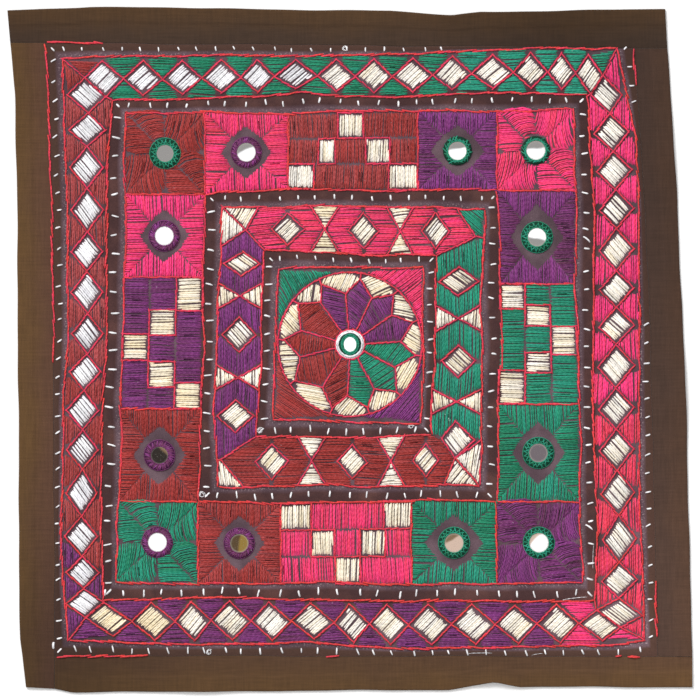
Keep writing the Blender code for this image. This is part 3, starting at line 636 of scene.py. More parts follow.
# Patches of the cotton that are lighter or darker than the rest
Patch = namedtuple("Patch", "x y reach tone")
PATCHES = rows(
    Patch,
    (125.0, 205.0, 55.0, -0.32),
    (-175.0, 205.0, 60.0, 0.07),
    (205.0, 110.0, 90.0, -0.20),
    (205.0, -160.0, 75.0, 0.30),
    (-195.0, -200.0, 75.0, -0.38),
    (-210.0, 190.0, 50.0, -0.18),
)

# Mesh of a border strip
STRIP_STEPS = 110
STRIP_CROSS_STEPS = 16
STRIP_FOOT_STEPS = 5
STRIP_RIPPLE = 0.10
STRIP_WAVES = 2.1
EDGE_STEPS = 7
SEAM_ROUND = 0.25
SEAM_DROP = 0.3

# The floor, camera and lights of the studio, in metres
PHOTO_WIDTH = 0.434
CAMERA_HEIGHT = 1.2
FLOOR_SIZE = 5.0
FLOOR_DROP = 0.0004
FLOOR_GRAIN = (30.0, 3.0)
FLOOR_GRAIN_SHARE = 0.06
FLOOR_GREY = (0.7, 0.7, 0.7)
FLOOR_SURFACE = {"Roughness": 0.9, "Specular_IOR_Level": 0.1, "Emission_Strength": 0.15}
WHITE_LIGHT = (1.0, 1.0, 1.0)
OVERHEAD_SIZE = 1.4
OVERHEAD_HEIGHT = 2.0
KEY_SOFTNESS = 26.0
KEY_TURN = (-36.0, -28.0, 0.0)

# Materials: twist and plies of the threads, and how far each thing lightens or darkens them
THREAD_TWIST = 3.2
THREAD_PLIES = 2.0
FIBRE_SCALE = 2600.0
DYE_SCALE = 45.0
DYE_SPREAD = 0.9
PLY_CONTRAST = 0.06
PLY_SHIFT = 37.0
FIBRE_CONTRAST = 0.30
END_RANGE = (0.36, 0.5)
END_DARK = 0.12
# Painted light and shade of puckers in the satin: size of its patches and how far they lighten or darken it
PUCKER_SHADE_SCALE = 75.0
PUCKER_SHADE_CONTRAST = 0.6
FLECK_NOISE = (520.0, 2.0, 0.7)
FLECK_RANGE = (0.68, 0.76)
FLECK_SHARE = 0.45
FLECK_TINT = (196, 186, 190)
PLY_BUMP = 0.5
PLY_DEPTH = 0.16
THREAD_ROUGH = 0.46
THREAD_ROUGH_SPREAD = 0.22
THREAD_SURFACE = {"Sheen_Weight": 0.08, "Sheen_Roughness": 0.5, "Specular_IOR_Level": 0.35}

# The core of a ring: its strands, how dark and how rough they are
STRAND_SCALE = 1100.0
CORE_SHADE = 0.16
CORE_LIGHT = 0.75
CORE_CONTRAST = 0.5
CORE_ROUGH = 0.70
CORE_ROUGH_SPREAD = 0.2
CORE_GLOSS = 0.2

# The cottons: pitch of the weave, how its threads wobble, scale of the worn places, how much the
# weave and the grain show, roughness, how deep weave and grain are, and sheen
Cotton = namedtuple(
    "Cotton",
    "pitch wobble_scale wobble way worn_scale contrast grain rough rough_spread weave_bump "
    "grain_bump sheen",
)
GROUND_COTTON = Cotton(0.46, 90.0, 3.0, 1.0, 42.0, 0.10, 0.5, 0.84, 0.12, 0.5, 1.0, 0.04)
BORDER_COTTON = Cotton(0.42, 70.0, 2.0, -1.0, 24.0, 0.06, 0.9, 0.80, 0.15, 0.4, 2.0, 0.03)
COTTON_SURFACE = {"Sheen_Roughness": 0.6, "Specular_IOR_Level": 0.2}
WORN_NOISE = (4.0, 0.6)
WORN_CONTRAST = 0.25
WEAVE_DEPTH = 0.10
SPECK_NOISE = (900.0, 2.0, 0.6)
LINT_RANGE = (0.55, 0.66)
LINT_SHARE = 0.65
BARE_RANGE = (0.35, 0.68)
STRIP_RANGE = (0.40, 0.70)
SLUB_SCALES = (60.0, 900.0)
HEM_SPREAD = 0.9

# The glass: ripples that bend its painted reflection, a soft line between the two tints of that
# reflection, and a pale rim and specks, the rim partly dust and partly painted highlight
GLASS_SCALE = 150.0
GLASS_STRAY = 2.5
GLASS_SOFT = 0.9
GLASS_METAL = 0.85
GLASS_ROUGH = 0.16
GLASS_DEPTH = 0.10
RIM_DUST_AND_HIGHLIGHT_RANGE = (4.4, 6.2)
RIM_DUST_AND_HIGHLIGHT_SHARE = 0.55
DUST_ROUGH = 0.5
DUST_NOISE = (1400.0, 2.0, 0.7)
DUST_SPECK_RANGE = (0.60, 0.72)
DUST_SPECK_SHARE = 0.35

# The painted reflection of each mirror, its darker tints partly tarnished silvering, by the names in the
# table of mirrors
PAINTED_MIRROR_REFLECTIONS = {
    "white": (236, 236, 238),
    "grey": (128, 126, 124),
    "dusk": (96, 88, 92),
    "beige": (180, 157, 142),
    "brown": (112, 90, 68),
    "umber": (74, 58, 38),
    "olive": (124, 101, 48),
    "dark": (38, 32, 28),
}

# The strips of the border: their colours at the seam and at the hem, and the cloth that each is
# cut from, in metres
Border = namedtuple("Border", "side inner outer flat")
BORDERS = by_name(
    Border,
    ("top", (68, 51, 40), (80, 57, 36), (0.409, 0.0306)),
    ("right", (75, 55, 46), (80, 57, 44), (0.0296, 0.377)),
    ("bottom", (86, 61, 43), (92, 66, 40), (0.395, 0.0294)),
    ("left", (94, 65, 50), (98, 71, 42), (0.0302, 0.400)),
)

# Inputs of the tree that lays stitches, and the attributes that only it needs
STITCH_INPUTS = {
    "Geometry": "NodeSocketGeometry",
    "Stitch": "NodeSocketObject",
    "Thread": "NodeSocketMaterial",
    "Width": "NodeSocketFloat",
    "Rise": "NodeSocketFloat",
    "Thickness spread": "NodeSocketFloat",
    "Tone spread": "NodeSocketFloat",
    "Seed": "NodeSocketInt",
}
WORKING_ATTRIBUTES = ("size", "turn", "slope", "bow", "hump", "along")

# What each point keeps of its stitch, and the unit that it is in
POINT_ATTRIBUTES = {"turn": 1.0, "slope": 1.0, "bow": MM, "hump": MM, "dye": 1.0, "reach": MM}


def blend(a, b, share, share_up=None):
    """The point that share of the way from a to b, with a share of its own upwards if given."""
    up = share if share_up is None else share_up
    return (a[0] + (b[0] - a[0]) * share, a[1] + (b[1] - a[1]) * up)


def towards(a, b, distance):
    """The point at that distance from a, on the way to b."""
    return blend(a, b, distance / math.dist(a, b))


def middle_of(points):
    """The mean of some points."""
    return (sum(p[0] for p in points) / len(points), sum(p[1] for p in points) / len(points))


def clamped(value):
    """The nearest value from 0 to 1."""
    return min(1.0, max(0.0, value))


def sway(rng, reach):
    """A random step to either side."""
    return rng.uniform(-reach, reach)


def outwards(side):
    """+1 where outwards is the way that its coordinate grows, else -1."""
    return 1 if side in ("top", "right") else -1


def axis_of(side):
    """The coordinate that grows along a side: 0 across, 1 up."""
    return 0 if side in ("top", "bottom") else 1


def side_turn(side):
    """The direction of a side in degrees."""
    return 90.0 * axis_of(side)


def end_corners(side):
    """The names of a side's corners, low end first, which is also their order by the alphabet."""
    return sorted(corner for corner in CORNERS if side in corner)


def sides_of_corner(corner):
    """The level side and the upright side that meet in a corner."""
    return corner.split("_")


def spot(side, along, out):
    """The point with that place along a side and that place across it."""
    return (out, along) if axis_of(side) else (along, out)


def side_ends(square, side):
    """The two corners of a side, low end first, as (along, across)."""
    return [spot(side, *getattr(SQUARES[square], corner)) for corner in end_corners(side)]


def across(square, side, along):
    """How far out a square's side runs at a place along it, with its bows and its waver."""
    (a0, c0), (a1, c1) = side_ends(square, side)
    straight = c0 + (c1 - c0) * (along - a0) / (a1 - a0)
    places, outs = zip((a0, 0.0), *BOWS.get((square, side), ()), (a1, 0.0))
    out = np.interp(along, places, outs)
    number = list(SQUARES).index(square) * len(SIDES) + SIDES.index(side)
    for k, w in enumerate(WAVERS):
        turn = along / w.length * math.tau + WAVER_SHIFT * number * (k + 1) + k
        out += SQUARES[square].waver * w.size * math.sin(turn)
    return straight + outwards(side) * out


def on_side(square, side, along):
    """The point of a square's side at a place along it."""
    return spot(side, along, across(square, side, along))


def in_band(band, side, along, share):
    """A point in the band between two squares, share of the way from the outer to the inner."""
    outer, inner = (on_side(square, side, along) for square in band)
    return blend(outer, inner, share)


def corner_of(square, corner):
    """Where two wavering sides of a square meet."""
    x, y = getattr(SQUARES[square], corner)
    level, upright = sides_of_corner(corner)
    for _ in range(2):
        x, y = across(square, upright, y), across(square, level, x)
    return (x, y)


def band_corner(band, corner):
    """The outer and the inner corner of a band."""
    return [corner_of(square, corner) for square in band]


def side_line(square, side, steps):
    """Points along a side, corner to corner, low end first."""
    start, end = [corner_of(square, corner) for corner in end_corners(side)]
    axis = axis_of(side)
    stops = np.linspace(start[axis], end[axis], steps + 1)[1:-1]
    return [start] + [on_side(square, side, a) for a in stops] + [end]


def row_at(table, side, along, start="start"):
    """The last row of a side that starts before a place along it."""
    fitting = [r for r in table if r.side == side and getattr(r, start) <= along]
    return max(fitting, key=lambda r: getattr(r, start))


# A filling of satin stitches: its outline, its thread and shade, the direction that the stitches
# lie in, how far they bow out sideways, as a share of their length, how far they stay clear of the
# outline, and how far the whole filling may stray from its place
Fill = namedtuple("Fill", "outline thread dye turn bow clear stray", defaults=(0.0, LINE_CLEAR, 0.0))


def chain_crossings(chain):
    """Where the diamonds of a chain touch, along its side."""
    places = []
    for k in range(chain.diamonds + 1):
        t = k / chain.diamonds
        even = chain.first + (chain.last - chain.first) * (t + chain.swell * t * (1 - t))
        places.append(even + chain.strays.get(k, 0.0))
    return places


def chain_diamonds(chain):
    """The tips of each diamond of a chain: low end, outer, high end, inner."""
    ends = chain_crossings(chain)
    for a, b in zip(ends, ends[1:]):
        tip = (a + b) / 2
        stops = (
            (a, chain.middle),
            (tip + chain.skew, chain.margin),
            (b, chain.middle),
            (tip - chain.skew, 1 - chain.margin),
        )
        yield [in_band(BAND, chain.side, *stop) for stop in stops]


def band_edges(chain):
    """The outer and the inner edge of a chain's band: their share across it, the share that the
    tips stay at, how far the tips lead, and the column that says where threads start there."""
    return (
        (0.0, chain.margin, chain.skew, "outer_from"),
        (1.0, 1 - chain.margin, -chain.skew, "inner_from"),
    )


def pad_fill(outline, thread, dye, turn):
    """A loose pad inside a diamond, along the one of its edges that lies most nearly that way."""
    turns = []
    for a, b in zip(outline, outline[1:]):
        edge = math.degrees(math.atan2(b[1] - a[1], b[0] - a[0]))
        off = (edge - turn + 90.0) % 180.0 - 90.0
        turns.append((abs(off), turn + off))
    centre = middle_of(outline)
    pad = [blend(centre, p, PAD_SHARE) for p in outline]
    return Fill(pad, thread, dye, min(turns)[1], clear=0.0, stray=PAD_STRAY)


def chain_pad(outline, side, tip):
    """The pad of a diamond of a chain, with the thread that its side has there."""
    pad = row_at(PAD_THREADS, side, tip)
    return pad_fill(outline, pad.thread, pad.dye, CHAINS[side].pad_turn)


def triangle_fill(outline, side, thread, dye):
    """A filling beside the diamonds of a chain, worked along the band."""
    return Fill(outline, thread, dye, side_turn(side), clear=TRIANGLE_CLEAR)


def band_fills():
    """Diamond pads and the triangles between them, on all sides of the outer band."""
    fills = []
    for side, chain in CHAINS.items():
        ends = chain_crossings(chain)
        tips = [(a + b) / 2 for a, b in zip(ends, ends[1:])]
        for outline, tip in zip(chain_diamonds(chain), tips):
            fills.append(chain_pad(outline, side, tip))
        for share, margin, skew, start in band_edges(chain):
            slope = margin + (chain.middle - margin) * (1 - TRIANGLE_SHARE)
            for place, *beside in zip(ends[1:-1], tips, tips[1:]):
                a, b = (place + (tip + skew - place) * TRIANGLE_SHARE for tip in beside)
                stops = ((place, chain.middle), (a, slope), (a, share), (b, share), (b, slope))
                outline = [in_band(BAND, side, *stop) for stop in stops]
                row = row_at(BAND_THREADS, side, place, start)
                fills.append(triangle_fill(outline, side, row.thread, row.dye))
    for row in BAND_CORNERS.values():
        fills += band_corner_fills(row)
    return fills


def corner_diamonds(corner):
    """The two tilted diamonds beside a corner's diagonal: the side, the tips (on the diagonal,
    outer, knot, inner), and the place of the next tip along the side."""
    row = BAND_CORNERS[corner]
    start, end = (blend(*band_corner(BAND, corner), *shares) for shares in (row.start, row.end))
    for side in sides_of_corner(corner):
        ends = chain_crossings(CHAINS[side])
        at_low_end = corner == end_corners(side)[0]
        crossing, following = ends[:2] if at_low_end else ends[:-3:-1]
        knot = in_band(BAND, side, crossing, CHAINS[side].middle)
        outer_tip = (start[0] + knot[0] - end[0], start[1] + knot[1] - end[1])
        yield side, [start, outer_tip, knot, end], (crossing + following) / 2


def band_corner_fills(row):
    """The two tilted diamonds beside a corner's diagonal, and the triangles round them."""
    outer, inner = band_corner(BAND, row.corner)
    fills = []
    looks = (row.level, row.upright)
    for (side, tips, tip), look in zip(corner_diamonds(row.corner), looks):
        start, outer_tip, knot, end = tips
        fills.append(chain_pad(tips, side, tip))
        fills.append(triangle_fill([outer, outer_tip, start], side, *look))
        beside_tip = in_band(BAND, side, outer_tip[axis_of(side)], 0.0)
        beside = row_at(BAND_THREADS, side, tip, "outer_from")
        corners = ((outer_tip, beside_tip), (end, inner))
        for (share, margin, _, _), (near, edge) in zip(band_edges(CHAINS[side]), corners):
            base, far = (in_band(BAND, side, tip, place) for place in (share, margin))
            outline = [knot, near, edge, base, far]
            fills.append(triangle_fill(outline, side, beside.thread, beside.dye))
    return fills


def block_corners():
    """The outline of every block of the ring, by name, clockwise from its outer low corner."""
    blocks = {}
    for corner in CORNERS:
        outer, inner = band_corner(BLOCK_RING, corner)
        sides = zip(sides_of_corner(corner), inner)
        on_level, on_upright = (on_side("blocks_outer", side, place) for side, place in sides)
        blocks[corner] = [outer, on_level, inner, on_upright]
    for walls in BLOCK_WALLS:
        low, high = side_line("blocks_inner", walls.side, 1)
        axis = axis_of(walls.side)
        stops = [low[axis], walls.first, walls.last, high[axis]]
        for name, a, b in zip(("low", "chequer", "high"), stops, stops[1:]):
            blocks[walls.side + "_" + name] = [
                in_band(BLOCK_RING, walls.side, along, share)
                for along, share in ((a, 0.0), (b, 0.0), (b, 1.0), (a, 1.0))
            ]
    return blocks


def in_block(block, u, v):
    """A point in a four-cornered block: u along its outer edge, v from the outer to the inner."""
    return blend(blend(block[0], block[1], u), blend(block[3], block[2], u), v)


def hub_and_edges(block):
    """A block's middle, and the middles of its four edges."""
    return middle_of(block), [middle_of(edge) for edge in zip(block, block[1:] + block[:1])]


def chequer_cells(name, block):
    """The light cells of a chequer and the dark stretches between them, and which each is."""
    table = LIGHT_CELLS.get(name, ())
    for row, light in enumerate(table):
        stops = sorted({0.0, 1.0, *(stop for cell in light for stop in cell)})
        v0, v1 = row / len(table), (row + 1) / len(table)
        for u0, u1 in zip(stops, stops[1:]):
            cell = [in_block(block, u, v) for u, v in ((u0, v0), (u1, v0), (u1, v1), (u0, v1))]
            yield cell, any(start == u0 for start, _ in light)


def chequer_fills(block, row):
    """Each cell is worked across the band."""
    side = row.name.split("_")[0]
    fills = []
    for cell, light in chequer_cells(row.name, block):
        look = ("cream", CELL_DYE[side]) if light else (row.thread, row.dye)
        clear = CELL_CLEAR if light else DARK_CELL_CLEAR
        fills.append(Fill(cell, *look, 90.0 - side_turn(side), clear=clear))
    return fills


def mitred_fills(block, row):
    """Four mitred fillings round the bare diamond that a mirror sits in, worked inwards."""
    centre, edges = hub_and_edges(block)
    shoulder = MOAT_SHOULDER * (row.moat_across + row.moat_up) / 2
    fills = []
    for k, edge in enumerate(edges):
        a, b = block[k], block[(k + 1) % len(block)]
        upright = abs(b[0] - a[0]) > abs(b[1] - a[1])
        point = towards(centre, edge, row.moat_up if upright else row.moat_across)
        before, after = (towards(centre, corner, shoulder) for corner in (a, b))
        # Painted sheen: upright and level satin differ in dye, as satin catches light by the way it lies
        dye = row.dye + SECTOR_PAINTED_SHEEN[row.thread] * (-1 if upright else 1)
        turn = 90.0 if upright else 0.0
        fills.append(Fill([a, b, after, point, before], row.thread, dye, turn, clear=BLOCK_CLEAR))
    return fills


def leaf_fills(block, row):
    """A leaf in each quarter of a corner block, worked from its vein, with bare notches between."""
    centre, edges = hub_and_edges(block)
    clear = RING_OUTER + PIECE_GAP
    fills = []
    for k, tip in enumerate(block):
        slope = (tip[1] - centre[1]) / (tip[0] - centre[0])
        for edge in (edges[k - 1], edges[k]):
            length = math.dist(edge, tip)
            outline = [
                tip,
                blend(edge, tip, NOTCH_ALONG / length),
                blend(edge, centre, NOTCH_DEEP / length),
                towards(centre, edge, clear),
                towards(centre, tip, clear),
            ]
            x, y = middle_of(outline)
            above = y > centre[1] + slope * (x - centre[0])
            turn, bow = LEAF_HALVES["up" if slope > 0 else "down", above]
            fills.append(Fill(outline, row.thread, row.dye, turn, bow, BLOCK_CLEAR))
    return fills


def block_fills():
    """Leaves in the corner blocks, cells in the chequers, and mitred fillings in the others."""
    blocks = block_corners()
    fills = []
    for row in BLOCKS:
        make = chequer_fills if row.name.endswith("chequer") else mitred_fills
        if row.name in CORNERS:
            make = leaf_fills
        fills += make(blocks[row.name], row)
    return fills


def frieze_knot(corner):
    """A frieze corner: its outer and inner corner, the knot between them, and the places on the
    level and the upright outer line that run to the knot."""
    row = CORNER_KNOTS[corner]
    ends = band_corner(FRIEZE_BAND, corner)
    places = blend(*ends, row.along_level, row.along_upright)
    beside = [on_side("frieze_outer", side, a) for side, a in zip(sides_of_corner(corner), places)]
    return *ends, blend(*ends, *row.knot), *beside


def frieze_diamond(m):
    """A diamond's tips: low end, outer, high end, inner."""
    stops = ((-m.half_length, 0.5), (0.0, 0.5 - m.reach), (m.half_length, 0.5), (0.0, 0.5 + m.reach))
    return [in_band(FRIEZE_BAND, m.side, m.along + by, share) for by, share in stops]


def frieze_cross(m):
    """A cross's middle and its four ends: outer low, outer high, inner low, inner high."""
    stops = [(0.0, 0.5)] + [(way * m.half_length, share) for share in (0.0, 1.0) for way in (-1, 1)]
    return [in_band(FRIEZE_BAND, m.side, m.along + by, share) for by, share in stops]


def frieze_fills():
    """Pads, cream wedges of the crosses, and the fillings between them."""
    fills = []
    for side in FRIEZE_THREADS:
        motifs = [m for m in FRIEZE if m.side == side]
        for m in motifs:
            if m.kind == "diamond":
                fills.append(pad_fill(frieze_diamond(m), "cream", m.dye, m.pad_turn))
            else:
                knot, *ends = frieze_cross(m)
                for pair in (ends[:2], ends[2:]):
                    fills.append(Fill([knot, *pair], "cream", m.dye, m.pad_turn))
        fills += frieze_fillings(side, motifs)
    for row in CORNER_KNOTS.values():
        outer, _, knot, on_level, on_upright = frieze_knot(row.corner)
        patches = (([outer, on_level, knot, on_upright], WHOLE_PATCH_DYE, row.level_turn),)
        if row.corner in SPLIT_CORNERS:
            patches = (
                ([outer, on_level, knot], LEVEL_PATCH_DYE, row.level_turn),
                ([outer, knot, on_upright], UPRIGHT_PATCH_DYE, row.upright_turn),
            )
        fills += [Fill(outline, row.thread, dye, turn) for outline, dye, turn in patches]
    return fills + tilted_diamond_fills()


def frieze_fillings(side, motifs):
    """A filling on each side of a diamond, as far as the next cross or the knot of the corner."""
    look = FRIEZE_THREADS[side]
    fills = []
    for m in (m for m in motifs if m.kind == "diamond"):
        low, outer_tip, high, inner_tip = frieze_diamond(m)
        outer, inner = (in_band(FRIEZE_BAND, side, m.along, share) for share in (0.0, 1.0))
        for way, tip in ((-1, low), (1, high)):
            beyond = [c for c in motifs if c.kind == "cross" and (c.along - m.along) * way > 0]
            if beyond:
                c = min(beyond, key=lambda row: abs(row.along - m.along))
                arm = c.along - way * c.half_length
                stops = ((arm, 0.0), (c.along, 0.5), (arm, 1.0))
                end = [in_band(FRIEZE_BAND, side, *stop) for stop in stops]
            else:
                corner = end_corners(side)[max(way, 0)]
                _, inner_end, knot, *beside = frieze_knot(corner)
                end = [beside[axis_of(side)], knot, inner_end]
                if corner == "bottom_right":
                    end.insert(2, tilted_diamond()[0][3])
            outline = [outer_tip, outer, *end, inner, inner_tip, tip]
            fills.append(Fill(outline, look.thread, look.dye, look.turn))
    return fills


def tilted_diamond():
    """The leaning diamond in the frieze's lower right corner: top, right, knot and left tip, then
    the inner corner and the place on the upright outer line beside it."""
    outer, inner, knot, _, on_upright = frieze_knot("bottom_right")
    top, right, left = [blend(outer, inner, *shares) for shares in TILTED_DIAMOND]
    return [top, right, knot, left], inner, on_upright


def tilted_diamond_fills():
    """The pad that leans in the frieze's lower right corner, and the filling above it."""
    tips, inner, on_upright = tilted_diamond()
    top, right, _, left = tips
    cross = next(m for m in FRIEZE if m.side == "right")
    arm = cross.along - cross.half_length
    stops = ((cross.along, 0.5), (arm, 0.0), (arm, 1.0))
    knot, outer_end, inner_end = [in_band(FRIEZE_BAND, "right", *stop) for stop in stops]
    filling = [knot, outer_end, on_upright, right, top, left, inner, inner_end]
    look = FRIEZE_THREADS["right"]
    return [
        pad_fill(tips, "cream", 0.0, TILTED_PAD_TURN),
        Fill(filling, look.thread, look.dye, look.turn),
    ]


def polar(angle, radius):
    """A point round the middle of the flower."""
    turn = math.radians(angle)
    return (FLOWER_CENTRE[0] + radius * math.cos(turn), FLOWER_CENTRE[1] + radius * math.sin(turn))


def circle(radius, start=0.0, end=360.0, steps=CIRCLE_STEPS):
    """Points round the flower, or on an arc between two angles."""
    return [polar(a, radius) for a in np.linspace(start, end, steps + 1)]


def notch_before(k):
    """The angle of the notch before a petal."""
    return PETALS[k - 1].notch + (360.0 if k == 0 else 0.0)


def tip_after(k):
    """The angle of the tip that follows a petal's."""
    return PETALS[(k + 1) % len(PETALS)].tip - (360.0 if k == len(PETALS) - 1 else 0.0)


def centre_fills():
    """Petals, the cream gaps between them, and the four corners outside the circle."""
    fills = []
    for k, petal in enumerate(PETALS):
        stops = (
            (notch_before(k), CORE_LINE_RADIUS),
            (notch_before(k), NOTCH_RADIUS),
            (petal.tip, PETAL_TIP_RADIUS),
            (petal.notch, NOTCH_RADIUS),
            (petal.notch, CORE_LINE_RADIUS),
            (petal.tip, CORE_LINE_RADIUS),
        )
        outline = [polar(*stop) for stop in stops]
        fills.append(Fill(outline, petal.thread, petal.dye, petal.turn))
        _, _, tip, notch, _, _ = outline
        rim = circle(FLOWER_RADIUS, petal.tip, tip_after(k), GAP_STEPS)[1:-1]
        gap = [notch, tip, *rim, polar(tip_after(k), PETAL_TIP_RADIUS)]
        fills.append(Fill(gap, "cream", GAP_DYE, petal.gap_turn))
    for row in CENTRE_CORNERS:
        ends = (row.angle - CORNER_FILL_SPREAD, row.angle + CORNER_FILL_SPREAD)
        outline = [corner_of("centre", row.corner), *circle(FLOWER_RADIUS, *ends, CORNER_FILL_STEPS)]
        fills.append(Fill(outline, row.thread, row.dye, row.turn, row.bow))
    return fills


def area(outline):
    """The area inside an outline, negative where it runs with the clock."""
    pairs = zip(outline, outline[1:] + outline[:1])
    return sum(a[0] * b[1] - b[0] * a[1] for a, b in pairs) / 2


def inset(outline, depth):
    """An outline moved inwards by depth on every side, or None where nothing is left of it."""
    loop = list(outline) if area(outline) > 0 else list(outline)[::-1]
    points = []
    for before, here, after in zip(loop[-1:] + loop[:-1], loop, loop[1:] + loop[:1]):
        a, b = np.subtract(here, before), np.subtract(after, here)
        if min(np.hypot(*a), np.hypot(*b)) < SHORTEST_EDGE:
            continue
        a, b = a / np.hypot(*a), b / np.hypot(*b)
        normal = np.array((-a[1] - b[1], a[0] + b[0]))
        size = np.hypot(*normal)
        reach = depth / max(size / 2, SHARPEST_MITRE)
        points.append(tuple(np.add(here, normal / size * reach)))
    if len(points) < 3 or area(points) < SMALLEST_SHARE * area(loop):
        return None
    return points


# A stitch in millimetres and radians: its middle, its reach from end to end, width and height, the
# turn and the slope of its length, how far its middle bows sideways and arches up, and its shade
Stitch = namedtuple("Stitch", "x y z reach width height turn slope bow hump dye")


def stitch(a, b, width, height, dye, bow=0.0, hump=0.0):
    """The stitch from one point to another, each (x, y, height of its foot)."""
    dx, dy, dz = (q - p for p, q in zip(a, b))
    level = math.hypot(dx, dy)
    middle = ((p + q) / 2 for p, q in zip(a, b))
    turn, slope = math.atan2(dy, dx), math.atan2(dz, level)
    return Stitch(*middle, math.hypot(level, dz), width, height, turn, slope, bow, hump, dye)


def dyed(dye, rng, spread=DYE_JITTER):
    """A stitch's own shade, near that of its filling."""
    return clamped(dye + rng.gauss(0.0, spread))


def scan(turned, level):
    """The stretches of a line at that level inside an outline, as (start, end) along it."""
    meets = []
    for (u0, v0), (u1, v1) in zip(turned, turned[1:] + turned[:1]):
        if (v0 <= level) != (v1 <= level):
            meets.append(u0 + (u1 - u0) * (level - v0) / (v1 - v0))
    meets.sort()
    return zip(meets[::2], meets[1::2])


def satin(fill, rng):
    """Satin stitches side by side across an outline, with uneven ends and a gap here and there."""
    thread = THREADS[fill.thread]
    outline = inset(fill.outline, fill.clear)
    if outline is None:
        return []
    turn = math.radians(fill.turn + sway(rng, PAD_TURN_JITTER if fill.stray else TURN_JITTER))
    cos, sin = math.cos(turn), math.sin(turn)
    turned = [(x * cos + y * sin, y * cos - x * sin) for x, y in outline]
    low, high = min(v for _, v in turned), max(v for _, v in turned)
    drift = sway(rng, DYE_DRIFT)
    loose = thread.loose * rng.uniform(*LOOSE_RANGE)
    across_by, up_by = (sway(rng, fill.stray) for _ in range(2))
    stitches = []
    level = low + thread.pitch * rng.uniform(*FIRST_RANGE)
    while level < high:
        for ends in scan(turned, level):
            u0, u1 = (u + sway(rng, END_JITTER) for u in ends)
            if u1 - u0 < SHORTEST_STITCH:
                continue
            v0, v1 = (level + sway(rng, SIDE_JITTER) for _ in range(2))
            a, b = (
                (u * cos - v * sin + across_by, u * sin + v * cos + up_by, SATIN_FOOT)
                for u, v in ((u0, v0), (u1, v1))
            )
            bow = fill.bow * (u1 - u0) + sway(rng, BOW_JITTER)
            hump = min(SATIN_HUMP, (u1 - u0) * SATIN_HUMP_SHARE)
            dye = dyed(fill.dye + drift, rng)
            stitches.append(stitch(a, b, thread.width, SATIN_HEIGHT, dye, bow, hump))
        level += thread.pitch * rng.uniform(*PITCH_RANGE)
        if rng.random() < loose:
            level += thread.gap * rng.uniform(*GAP_RANGE)
    return stitches


def walk(points, advance):
    """A line of points: its length, how many steps it is walked in, and a lookup of its places."""
    ends = np.array(points)
    steps = np.hypot(*(ends[1:] - ends[:-1]).T)
    run = np.concatenate(([0.0], np.cumsum(steps)))
    count = max(1, round(run[-1] / advance))

    def at(distance):
        return tuple(float(np.interp(distance, run, ends[:, axis])) for axis in (0, 1))

    return run[-1], count, at


def outline_stitch(points, line, rng):
    """A line in stem stitch: long stitches that overlap and lean the same way."""
    total, count, at = walk(points, line.advance)
    step = total / count
    low = max(points[0][1], points[-1][1]) < LOW_LINES
    lean = rng.choice((-1, 1)) * LINE_LEAN
    dye = (line.low_dye if low else line.dye) + sway(rng, DYE_DRIFT)
    stitches = []
    for k in range(count):
        middle = (k + 0.5) * step + sway(rng, LINE_PLACE_JITTER) * step
        half = line.length / 2 * rng.uniform(*LINE_LENGTH_RANGE)
        ends = max(middle - half, -line.overshoot), min(middle + half, total + line.overshoot)
        (x0, y0), (x1, y1) = (reached(at, end, total) for end in ends)
        size = math.dist((x0, y0), (x1, y1))
        if size < SHORTEST_STITCH:
            continue
        nx, ny = -(y1 - y0) / size, (x1 - x0) / size
        off0, off1 = (off + sway(rng, line.wander) for off in (lean, -lean))
        a = (x0 + nx * off0, y0 + ny * off0, LINE_FOOT)
        b = (x1 + nx * off1, y1 + ny * off1, LINE_FOOT)
        stitches.append(stitch(a, b, line.width, LINE_HEIGHT, dyed(dye, rng), 0.0, LINE_HUMP))
    return stitches


def reached(at, distance, total):
    """A place on a line, or past one of its ends in the direction it runs there."""
    inside = min(max(distance, 0.0), total)
    if inside == distance:
        return at(distance)
    edge = at(inside)
    back = at(min(max(inside + (1 if distance < 0 else -1), 0.0), total))
    span = math.dist(edge, back)
    return blend(edge, back, -abs(distance - inside) / span) if span else edge


def frame_lines():
    """The square outlines of the design, the parts of one beside the seams, and the walls."""
    lines = [side_line(square, side, FRAME_STEPS) for square in FRAME_SQUARES for side in SIDES]
    for run in SEAM_RUNS:
        stops = np.linspace(run.start, run.end, RUN_STEPS)
        inside = SEAM_RUN_INSIDE * outwards(run.side)
        lines.append([spot(run.side, a, across("seam", run.side, a) - inside) for a in stops])
    for name, block in block_corners().items():
        if name in CORNERS:
            lines += [[block[1], block[2]], [block[3], block[2]]]
        elif name.endswith("chequer"):
            lines += [[block[0], block[3]], [block[1], block[2]]]
    return lines


def round_lines(tips):
    """A line along each edge of a closed outline."""
    return [[a, b] for a, b in zip(tips, tips[1:] + tips[:1])]


def motif_lines():
    """The outlines inside the bands, chequers and petals."""
    lines = []
    for chain in CHAINS.values():
        for tips in chain_diamonds(chain):
            lines += round_lines(tips)
    for corner in CORNERS:
        outer, inner = band_corner(BAND, corner)
        for _, tips, _ in corner_diamonds(corner):
            lines += round_lines(tips)
        lines += [[outer, tips[0]], [tips[3], inner]]
    for name, block in block_corners().items():
        for cell, light in chequer_cells(name, block):
            lines += round_lines(cell) if light else []
    for m in FRIEZE:
        if m.kind == "diamond":
            lines += round_lines(frieze_diamond(m))
        else:
            _, outer_low, outer_high, inner_low, inner_high = frieze_cross(m)
            lines += [[outer_low, inner_high], [outer_high, inner_low]]
    for corner in CORNER_KNOTS:
        outer, inner, knot, on_level, on_upright = frieze_knot(corner)
        if corner in SPLIT_CORNERS:
            lines.append([outer, knot])
        lines += [[on_level, knot], [on_upright, knot]]
        if corner != "bottom_right":
            lines.append([inner, knot])
    return lines + round_lines(tilted_diamond()[0]) + flower_lines()


